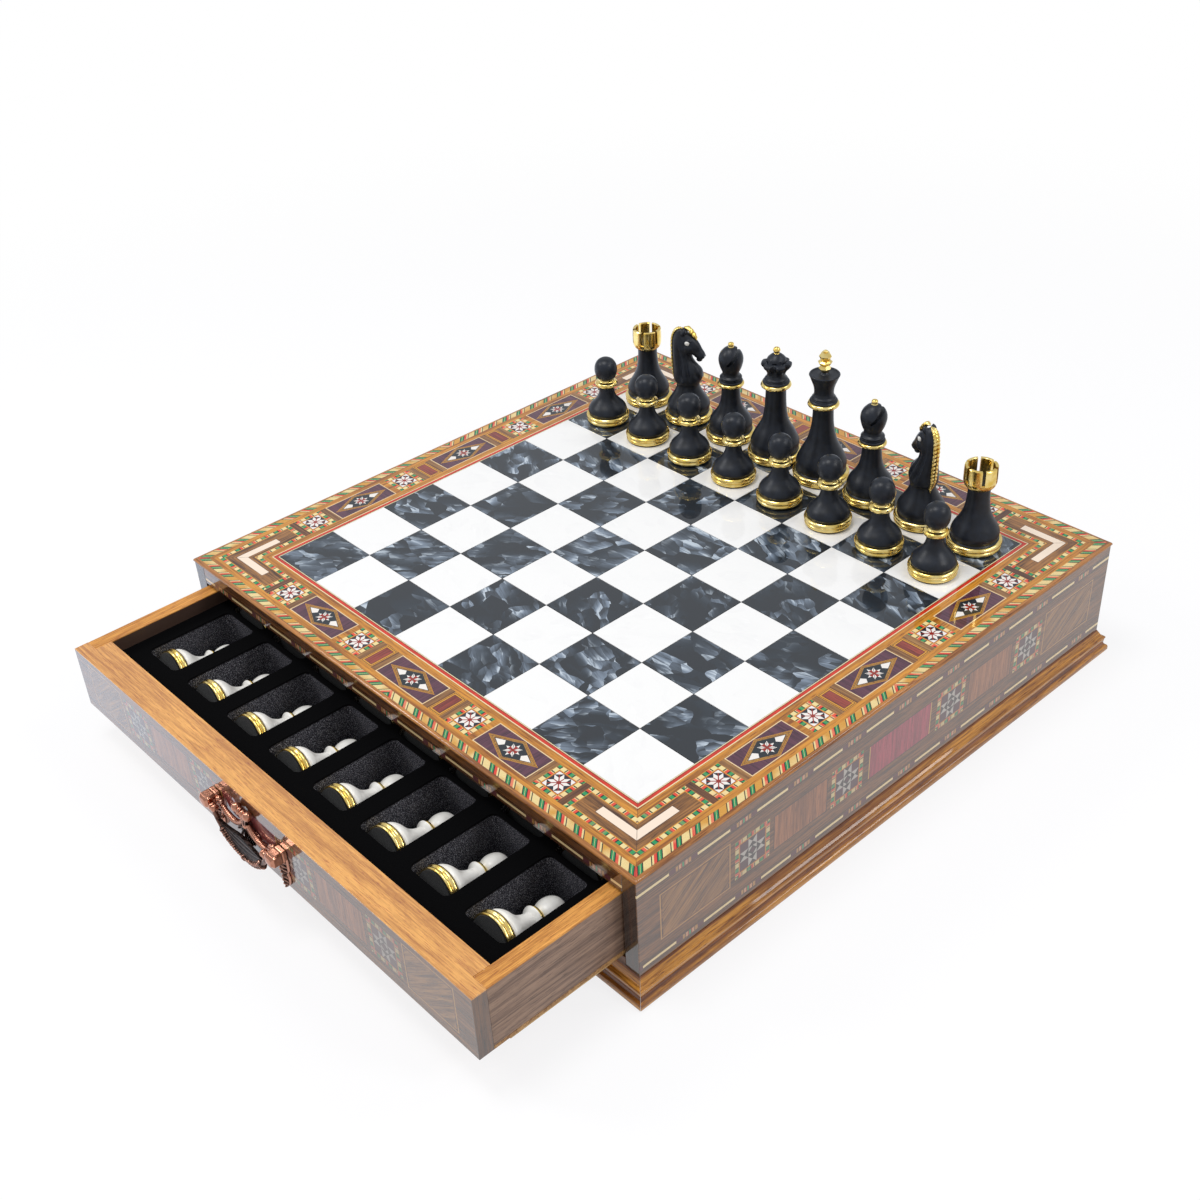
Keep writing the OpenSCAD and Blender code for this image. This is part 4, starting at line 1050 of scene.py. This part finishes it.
def knight():
    """A turned foot, the carved horse on it, a gilded mane and forelock cut
    like rope, and pearl eyes."""
    body = turned(foot(16.5) + [
        (LINE, [(14.5, 6.4), (14.0, 7.2)]),
        (BODY, [(14.0, 7.2), (14.8, 10.8), (14.2, 13.4), (12, 17), (9.6, 21), (8, 25),
                (7.8, 27.6), (8.4, 29.6)]),
        (BODY, [(8.4, 29.6), (0, 29.6)])])
    horse = horse_head()
    horse.finish += BODY

    def strands(turns):
        """Slanting grooves across the strip, meeting on its middle line."""
        return lambda u, angle: 0.16 * np.sin(u * turns - 2.4 * np.abs(np.sin(angle)))

    back = curve([(-3.2, 0, 67.3), (-6.4, 0, 66.9), (-8.9, 0, 65.0), (-10.6, 0, 61.2),
                  (-11.2, 0, 56), (-11.2, 0, 50), (-11.0, 0, 44), (-10.7, 0, 38),
                  (-10.5, 0, 33), (-9.4, 0, 29.4), (-8.3, 0, 26.8), (-8.4, 0, 24)], 12)
    wide = curve([(0, 0), (1.7, 0.9), (2.1, 1.0), (2.2, 1.0), (2.3, 1.0), (2.3, 1.0), (2.3, 1.0),
                  (2.2, 1.0), (2.0, 0.9), (1.6, 0.8), (1.0, 0.6), (0, 0)], 12)
    brow = curve([(-3.0, 0, 67.8), (0.2, 0, 67.8), (3.2, 0, 65.0), (5.5, 0, 61.8),
                  (6.6, 0, 59.0)], 10)
    fringe = curve([(0, 0), (2.0, 1.3), (2.3, 1.4), (1.9, 1.1), (0, 0)], 10)
    return joined([
        body, horse,
        swept(back, wide[:, 0], wide[:, 1], 24, relief=strands(150), finish=GOLD),
        swept(brow, fringe[:, 0], fringe[:, 1], 20, relief=strands(34), finish=GOLD)]
        + [ball((0.9, s * 4.25, 58.2), (1.75, 1.15, 1.75), PEARL) for s in (-1, 1)])


MEN = {"pawn": pawn(), "rook": rook(), "knight": knight(), "bishop": bishop(),
       "queen": queen(), "king": king()}
RADIUS = {"pawn": 14.9, "rook": 16.7, "knight": 16.5, "bishop": 16.9, "queen": 18.0,
          "king": 18.4}
# How far each man leans when it lies with its foot and its head on the floor
LEAN = {"pawn": 11.47, "rook": 7.8, "knight": 12.5, "bishop": 9.3, "queen": 7.3, "king": 7.3}
ROW = ["rook", "knight", "bishop", "queen", "king", "bishop", "knight", "rook"]
SIDES = ["_left", "_left", "_left", "", "", "_right", "_right", "_right"]
TURN = [-18, 25, 47, 0, 0, 47, 160, 0]


def black_men():
    """Both rows on their squares, each man a piece of its own."""
    for i in range(8):
        x = (i + 0.5) * SQUARE - FIELD
        for kind, name, y, turn in (("pawn", "black_pawn_%d" % (i + 1), 100.0, 0),
                                    (ROW[i], "black_" + ROW[i] + SIDES[i], 140.0, TURN[i])):
            stand = Matrix.Translation((x, y, BOARD_Z)) @ Matrix.Rotation(
                math.radians(turn), 4, "Z")
            piece(MEN[kind].moved(stand), name + "_turned", name, [name], BLACK_SET)


def lying(kind, column):
    """Where a white man lies: tipped until its foot and its head touch the
    pocket's floor, its foot to the front."""
    lean, r = math.radians(LEAN[kind]), RADIUS[kind]
    rise = r * math.cos(lean) + FOOT_TOP * math.sin(lean)
    row = PAWN_ROW if kind == "pawn" else OFFICER_ROW
    x = (column - 3.5) * PITCH
    return Matrix.Translation((x, row - DRAWER_OPEN + END_GAP + r * math.sin(lean),
                               POCKET_Z + LYING_GAP + rise)) \
        @ Matrix.Rotation(-math.pi / 2 - lean, 4, "X")


def white_men():
    for kind, node in (("pawn", "white_pawns"), ("rook", "white_rooks"),
                       ("knight", "white_knights"), ("bishop", "white_bishops"),
                       ("queen", "white_queen"), ("king", "white_king")):
        columns = range(8) if kind == "pawn" else [i for i in range(8) if ROW[i] == kind]
        form = joined([MEN[kind].moved(lying(kind, i)) for i in columns])
        piece(form, node + "_turned", "front_drawer", [node], WHITE_SET)


black_men()
white_men()


# -------------------------------------------------------------------- pulls


def slabbed(front, back, rows, columns, finish=0):
    """A grid of points in front, the same grid behind, and a wall round them."""
    faces = skin(rows, columns, False)
    grid = np.arange(rows * columns).reshape(rows, columns)
    rim = np.concatenate([grid[0, :], grid[1:, -1], grid[-1, -2::-1], grid[-2:0:-1, 0]])
    after = np.roll(rim, -1)
    walls = np.stack([rim, after, after + grid.size, rim + grid.size], -1)
    return Form(np.vstack([front.reshape(-1, 3), back.reshape(-1, 3)]),
                np.vstack([faces, faces[:, ::-1] + grid.size, walls]).tolist(), finish)


def post_head(side):
    """A post's head: a block with cut corners, set on the face and bevelled
    towards its front, with a shallow cushion in the middle of the front."""
    def ring(w, h, cut, out):
        x = np.array([cut - w, w - cut, w, w, w - cut, cut - w, -w, -w])
        z = np.array([-h, -h, cut - h, h - cut, h, h, h - cut, cut - h])
        return np.stack([side * POST_X + x, 0 * x - out, 1.0 + z], -1)

    rings = [ring(4.0, 3.8, 1.0, 0.3), ring(4.0, 3.8, 1.0, 2.2), ring(3.75, 3.55, 0.9, 2.6),
             ring(3.75, 3.55, 0.9, 3.0), ring(4.0, 3.8, 1.2, 3.5), ring(4.0, 3.8, 1.2, 8.0),
             ring(2.7, 2.5, 0.8, 9.4), ring(1.0, 0.9, 0.3, POST_OUT)]
    count = len(rings)
    caps = [list(range(7, -1, -1)), [8 * (count - 1) + i for i in range(8)]]
    return Form(np.vstack(rings), skin(count, 8).tolist() + caps)


def leaf_relief(side):
    """The leaf under a post's head: two lobes, raised along the middle line,
    with slanting veins that run out to the lobed edge."""
    rows = curve([(3.4, 0.0), (3.0, 2.7), (-1.3, 4.05), (-5.9, 4.1), (-9.6, 3.6), (-11.9, 2.05),
                  (-14.6, 3.1), (-18.3, 2.6), (-20.7, 1.3), (-22, 0.0)], 8)
    z, half = rows[:, :1], rows[:, 1:]
    u = np.linspace(-1, 1, 33)[None, :]
    x = half * u
    rise = (1 - np.abs(u) ** 1.8) * (0.4 + 0.32 * np.abs(half))
    veins = 0.34 * np.sin(z * 2.3 + np.abs(u) * 3.2) * (np.abs(u) < 0.93) * (half > 0.4)
    spine = 0.7 * np.exp(-(x / 0.55) ** 2)
    y = -(1.5 + np.maximum(rise + veins + spine, 0.0) * (half > 0.05))
    front = np.stack([side * POST_X + x + 0 * y, y, z + 0 * u], -1)
    back = front * [1, 0, 1] - [0, 0.3, 0]
    return slabbed(front, back, len(rows), 33)


def swag(side):
    """A rod hung on an arc from the head's bead to the hub, thickest and most
    leafy in its middle, with slanting ridges round it."""
    turn = np.radians(np.linspace(-58.2, 58.2, 121))
    path = np.stack([side * SWAG_X + SWAG_R * np.sin(turn), 0 * turn - 2.3,
                     SWAG_RISE - SWAG_R * np.cos(turn)], -1)
    size = 1.1 + 0.65 * np.cos(turn / np.radians(58.2) * math.pi / 2) ** 0.7
    return swept(path, size, size, 28,
                 relief=lambda u, angle: 0.07 * np.sin(46 * math.pi * u + 2 * angle), finish=1)


def fan():
    """A palmette that hangs from the hub: nine ribs that widen outwards, each
    a half cosine across, with a scalloped edge."""
    v, u = np.meshgrid(np.linspace(0.05, 1, 22), np.linspace(-1, 1, 109), indexing="ij")
    rib = np.abs(np.cos(4.5 * math.pi * u))
    turn = np.radians(78) * u
    reach = (12.2 - 2.2 * u ** 2 - 0.9 * (1 - rib) ** 2) * v
    out = 1.7 + 1.1 * rib * np.sqrt(v) + 0.6 * np.sin(math.pi * v * 0.8)
    front = np.stack([reach * np.sin(turn), -out, -reach * np.cos(turn)], -1)
    back = front * [1, 0, 1] - [0, 0.5, 0]
    return slabbed(front, back, 22, 109)


def crest():
    """What is fixed between the posts: two beads over the middle with a small
    one between them, a leafy neck, a hub, a fan, and a rod to each post."""
    neck = curve([(0, 0, 9.6), (0, 0, 8.4), (0, 0, 6.0), (0, 0, 3.2), (0, 0, 0.4)], 10)
    neck[:, 1] = -SWAG_OUT
    wide = curve([(0, 0), (2.1, 1.2), (3.1, 1.5), (2.2, 1.7), (1.5, 1.6)], 10)
    parts = [swept(neck, wide[:, 1], wide[:, 0], 36,
                   relief=lambda u, angle: 0.2 * np.cos(9 * angle)),
             ball((0, -SWAG_OUT, 0.2), (2.3, 1.9, 2.1), 1),
             ball((0, -2.6, 6.2), (1.3, 2.0, 2.4)), fan()]
    for side in (-1, 1):
        parts += [ball((side * BEAD_AT, -BEAD_OUT, BEAD_RISE), (2.6, 2.8, 2.8), 1, 32),
                  ball((side * 1.6, -3.1, BEAD_RISE - 0.3), (1.5, 2.4, 2.4), 1, 28),
                  ball((side * 26.4, -SWAG_OUT, 2.2), (2.0, 2.0, 2.0), 1),
                  ball((side * 24.0, -SWAG_OUT, 1.4), (1.3, 1.6, 1.6)), swag(side)]
    return joined(parts)


def bail_line(turn):
    """Points on the arc that the bail's bar follows, by angle from its middle."""
    chord = BAIL_HALF - 1.9
    r = (chord ** 2 + BAIL_DROP ** 2) / (2 * BAIL_DROP)
    return np.stack([r * np.sin(turn), 0 * turn, r - BAIL_DROP - r * np.cos(turn)], -1), r


def leafy_bar():
    """The bail's bar: a plain rod from each collar, then a leaf with a toothed
    edge that narrows to the knot in the middle."""
    chord = BAIL_HALF - 1.9
    half = 2 * math.atan2(BAIL_DROP, chord)
    share = np.linspace(-1, 1, 361)
    path, _ = bail_line(half * share)
    far = np.abs(share)
    leaf = far < 0.62
    tooth = (far / 0.62 * 7.0) % 1.0
    size = np.where(leaf, 1.5 + 0.95 * (far / 0.62) ** 0.8 * (0.5 + 0.5 * tooth), 1.4)
    size += 0.7 * np.exp(-((far - 0.62) / 0.02) ** 2)
    size = np.maximum(size, 2.25 * np.sqrt(np.clip(1 - (far / 0.055) ** 2, 0, 1)))

    def ribs(u, turn):
        near = np.abs(2 * u - 1) < 0.6
        return near * (0.2 * np.cos(5 * turn) + 0.12 * np.sin(90 * math.pi * np.abs(u - 0.5)
                                                             + 3 * np.cos(turn)))

    bar = swept(path, np.minimum(size, 2.3), size, 36, relief=ribs)
    collar = [[(0, 22.6), (1.5, 22.6)], [(1.5, 22.6), (2.2, 23.4), (2.25, 24.4), (1.7, 25.0)],
              [(1.7, 25.0), (2.2, 25.3), (2.3, 26.2), (2.1, 27.2), (1.7, 27.6)],
              [(1.7, 27.6), (1.7, BAIL_HALF)], [(1.7, BAIL_HALF), (1.2, BAIL_HALF)],
              [(1.2, BAIL_HALF), (1.2, 30.8)], [(1.2, 30.8), (0, 30.8)]]
    ends = [turned([(2, stroke) for stroke in collar], 32, 5).moved(
        Matrix.Rotation(math.radians(turn), 4, "Y")) for turn in (90, -90)]
    return joined([bar] + ends)


def bail_plate():
    """The sickle inside the bar, widest in its middle: flutes run along it, and
    it leans back towards its upper edge."""
    v, u = np.meshgrid(np.linspace(0, 1, 49), np.linspace(-1, 1, 97), indexing="ij")
    turn = np.radians(58.0) * u
    _, r = bail_line(turn)
    inward = (13.6 * (1 - u ** 2) ** 0.85 - 0.5) * v
    radius = r - 0.5 - inward
    x, z = radius * np.sin(turn), r - BAIL_DROP - radius * np.cos(turn)
    lean = 1.3 * v * (1 - u ** 2)
    flute = 0.4 * np.abs(np.sin(4.5 * math.pi * v)) * (1 - u ** 2) ** 0.5
    rim = 0.5 * np.exp(-((v - 0.97) / 0.05) ** 2)
    front = np.stack([x, lean - 0.4 - flute - rim, z], -1)
    back = np.stack([x, lean + 0.8, z], -1)
    return slabbed(front, back, 49, 97, 1)


def pull(name, spin, out):
    """A drawer's pull: posts with leaves, the crest between them, and the bail."""
    at_face = spin @ Matrix.Translation((0, -CASE_HALF - out, PIVOT_Z))
    at_pivot = at_face @ Matrix.Translation((0, -PIVOT_OUT, 0))
    heads = piece(joined([post_head(-1), post_head(1)]).moved(at_face), name + "_pull_heads",
                  name + "_drawer", [name + "_drawer_pull_posts"], [COPPER])
    bevel = heads.modifiers.new("eased", "BEVEL")
    bevel.width, bevel.segments = 0.32 * MM, 3
    bevel.limit_method, bevel.angle_limit = "ANGLE", math.radians(20)
    bevel.harden_normals = True
    crown = joined([leaf_relief(-1), leaf_relief(1), crest()])
    piece(crown.moved(at_face), name + "_pull_crest", name + "_drawer", (), [ANTIQUE, COPPER], 60)
    bail = joined([leafy_bar(), bail_plate()])
    piece(bail.moved(at_pivot), name + "_pull_bail_cast", name + "_bail",
          [name + "_drawer_pull_bail"], [ANTIQUE, TARNISH, COPPER], 60)


pull("front", Matrix.Identity(4), DRAWER_OPEN)
pull("back", Matrix.Rotation(math.pi, 4, "Z"), 0.0)


# ---------------------------------------------------------- case and drawers

SIDE = side_wood()
RAIL = rail_wood()
FACE = face_wood()
BOARD = board_wood()
VELVET = velvet()
MOULDING = plain_wood("moulding_mahogany", paint("e09c3e"), paint("8a5018"), "round", LACQUER,
                      1.4, 1.4, (4.4, 8.6))
TOP = plain_wood("top_mahogany", paint("c4823c"), paint("7c4618"), "round", LACQUER)
INSIDE = plain_wood("inside_walnut", paint("7d543a"), paint("4a2d1c"), "x",
                    {"Roughness": 0.5, "Coat Weight": 0.3, "Coat Roughness": 0.25})

for node in ("left_side", "right_side"):
    eased(node, 0.35, SIDE)
for node in ("front_rail", "back_rail"):
    eased(node, 0.35, RAIL)
dressed(MOULDING, "base_moulding")
eased("top_board", 0.5, TOP, 3)
dressed(INSIDE, "floor_panel", "centre_divider")
dressed(felt("base_cloth", paint("1d2a22"), paint("0e1611")), "base_board")
dressed(border_wood(), "border_veneer")
dressed(rope_wood(), "rope_inlay")
dressed(line_wood(), "line_inlay")
dressed(corner_wood(), "corner_inlays")
dressed(lozenge_wood(), "lozenge_panels")
dressed(star_wood(), "star_tiles")
dressed(red_wood(), "red_tiles")
dressed(pearl("white_pearl", paint("f7f7f7"), paint("f1f1f2"), paint("fbfbfb"), 0.8, 0.0),
        "light_squares")
dressed(pearl("black_pearl", paint("262e37"), paint("8695a8"), paint("c4d0dc"), 1.05, 0.6),
        "dark_squares")
GLIDE = plain_wood("glide_beech", paint("d8b27a"), paint("b08a54"), "y",
                   {"Roughness": 0.5})
PLY = plain_wood("bottom_panel_ply", paint("c99a62"), paint("8f6438"), "x",
                 {"Roughness": 0.5})
STEEL = steel()
for drawer in ("front_drawer_", "back_drawer_"):
    eased(drawer + "face", 0.4, FACE)
    for part in ("left_board", "right_board", "back_board"):
        eased(drawer + part, 0.4, BOARD)
    eased(drawer + "tray", 0.9, VELVET, 3)
    dressed(PLY, drawer + "bottom_panel")
    dressed(GLIDE, drawer + "glides")
    dressed(STEEL, drawer + "pull_screws")


# ----------------------------------------------------- floor, light and camera


def studio():
    """A white floor that keeps shadows, an even white surround, and soft lamps; in reflections
    only, the floor glows in a painted bluish ramp.
    """
    scene = bpy.context.scene
    scene.view_settings.view_transform = "Standard"
    floor_mesh = bpy.data.meshes.new("floor")
    edge = FLOOR_HALF
    floor_mesh.from_pydata([(-edge, -edge, 0), (edge, -edge, 0), (edge, edge, 0),
                            (-edge, edge, 0)], [], [(0, 1, 2, 3)])
    floor = bpy.data.objects.new("floor", floor_mesh)
    scene.collection.objects.link(floor)
    shade = Shade("white_floor", {"Roughness": 0.9, "Specular IOR Level": 0.0,
                                  "Emission Strength": 1.0})
    straight = shade.node("LightPath", out="Is Camera Ray")
    shiny = shade.node("LightPath", out="Is Glossy Ray")
    seen = straight.high(shiny).high(shade.node("LightPath", out="Is Transmission Ray"))
    x, y, _ = shade.place()
    # Painted reflection: glossy rays see the floor glow bluish and bright to the left, grey to the
    # right, so the drawer fronts mirror that ramp.
    reflected_glow_ramp = shade.mix(x.ease(-320.0, 170.0), (1.05, 1.15, 1.32, 1), (0.74, 0.74, 0.75, 1))
    lit = shade.mix(shiny, (0.82, 0.82, 0.83, 1), reflected_glow_ramp)
    far = ((x * x + y * y) ** 0.5).ease(*FLOOR_FADE) * straight
    floor_grey = shade.mix(far, paint("777777"), (0, 0, 0, 1))
    floor_glow = shade.mix(far, lit, (1, 1, 1, 1))
    shade.feed("Base Color", shade.mix(seen, paint("e4e4e4"), floor_grey))
    shade.feed("Emission Color", shade.mix(seen, (0, 0, 0, 1), floor_glow))
    floor_mesh.materials.append(shade.material)

    sky = Shade("surround", {"Color": (1, 1, 1, 1)}, "worlds", "Background")
    scene.world = sky.material
    shiny = sky.node("LightPath", out="Is Glossy Ray")
    seen = sky.node("LightPath", out="Is Camera Ray").high(shiny)
    sky.feed("Strength", seen.pick(1.0, 0.37))
    sky.feed("Color", sky.mix(shiny, (1, 1, 1, 1), (0.68, 0.71, 0.75, 1)))

    for name, spot, size, power in (
            ("top_lamp", (-0.15, -0.4, 1.6), 0.55, 10.5),
            ("key_lamp", (-1.1, -1.0, 1.2), 0.45, 7.5),
            ("right_lamp", (1.4, 0.4, 1.2), 0.4, 6.5),
            ("back_lamp", (0.9, 1.2, 1.6), 0.5, 4.5)):
        light = bpy.data.lights.new(name, "AREA")
        light.shape, light.size, light.energy = "SQUARE", size, power
        lamp = bpy.data.objects.new(name, light)
        lamp.location = spot
        lamp.rotation_euler = (-Vector(spot)).to_track_quat("-Z", "Y").to_euler()
        scene.collection.objects.link(lamp)


def camera():
    """The view: right, up and back are the camera's own axes in the frame."""
    right = (0.67824, 0.73338, -0.046276)
    up = (-0.39374, 0.41586, 0.81977)
    back = (0.62045, -0.53778, 0.57082)
    data = bpy.data.cameras.new("camera")
    data.sensor_width, data.lens = 36.0, 46.255
    data.clip_start, data.clip_end = 0.01, 50.0
    seen = bpy.data.objects.new("camera", data)
    turn = Matrix((right, up, back)).transposed().to_4x4()
    seen.matrix_world = Matrix.Translation((0.57717, -0.53868, 0.59447)) @ turn
    bpy.context.scene.collection.objects.link(seen)
    bpy.context.scene.camera = seen


studio()
camera()
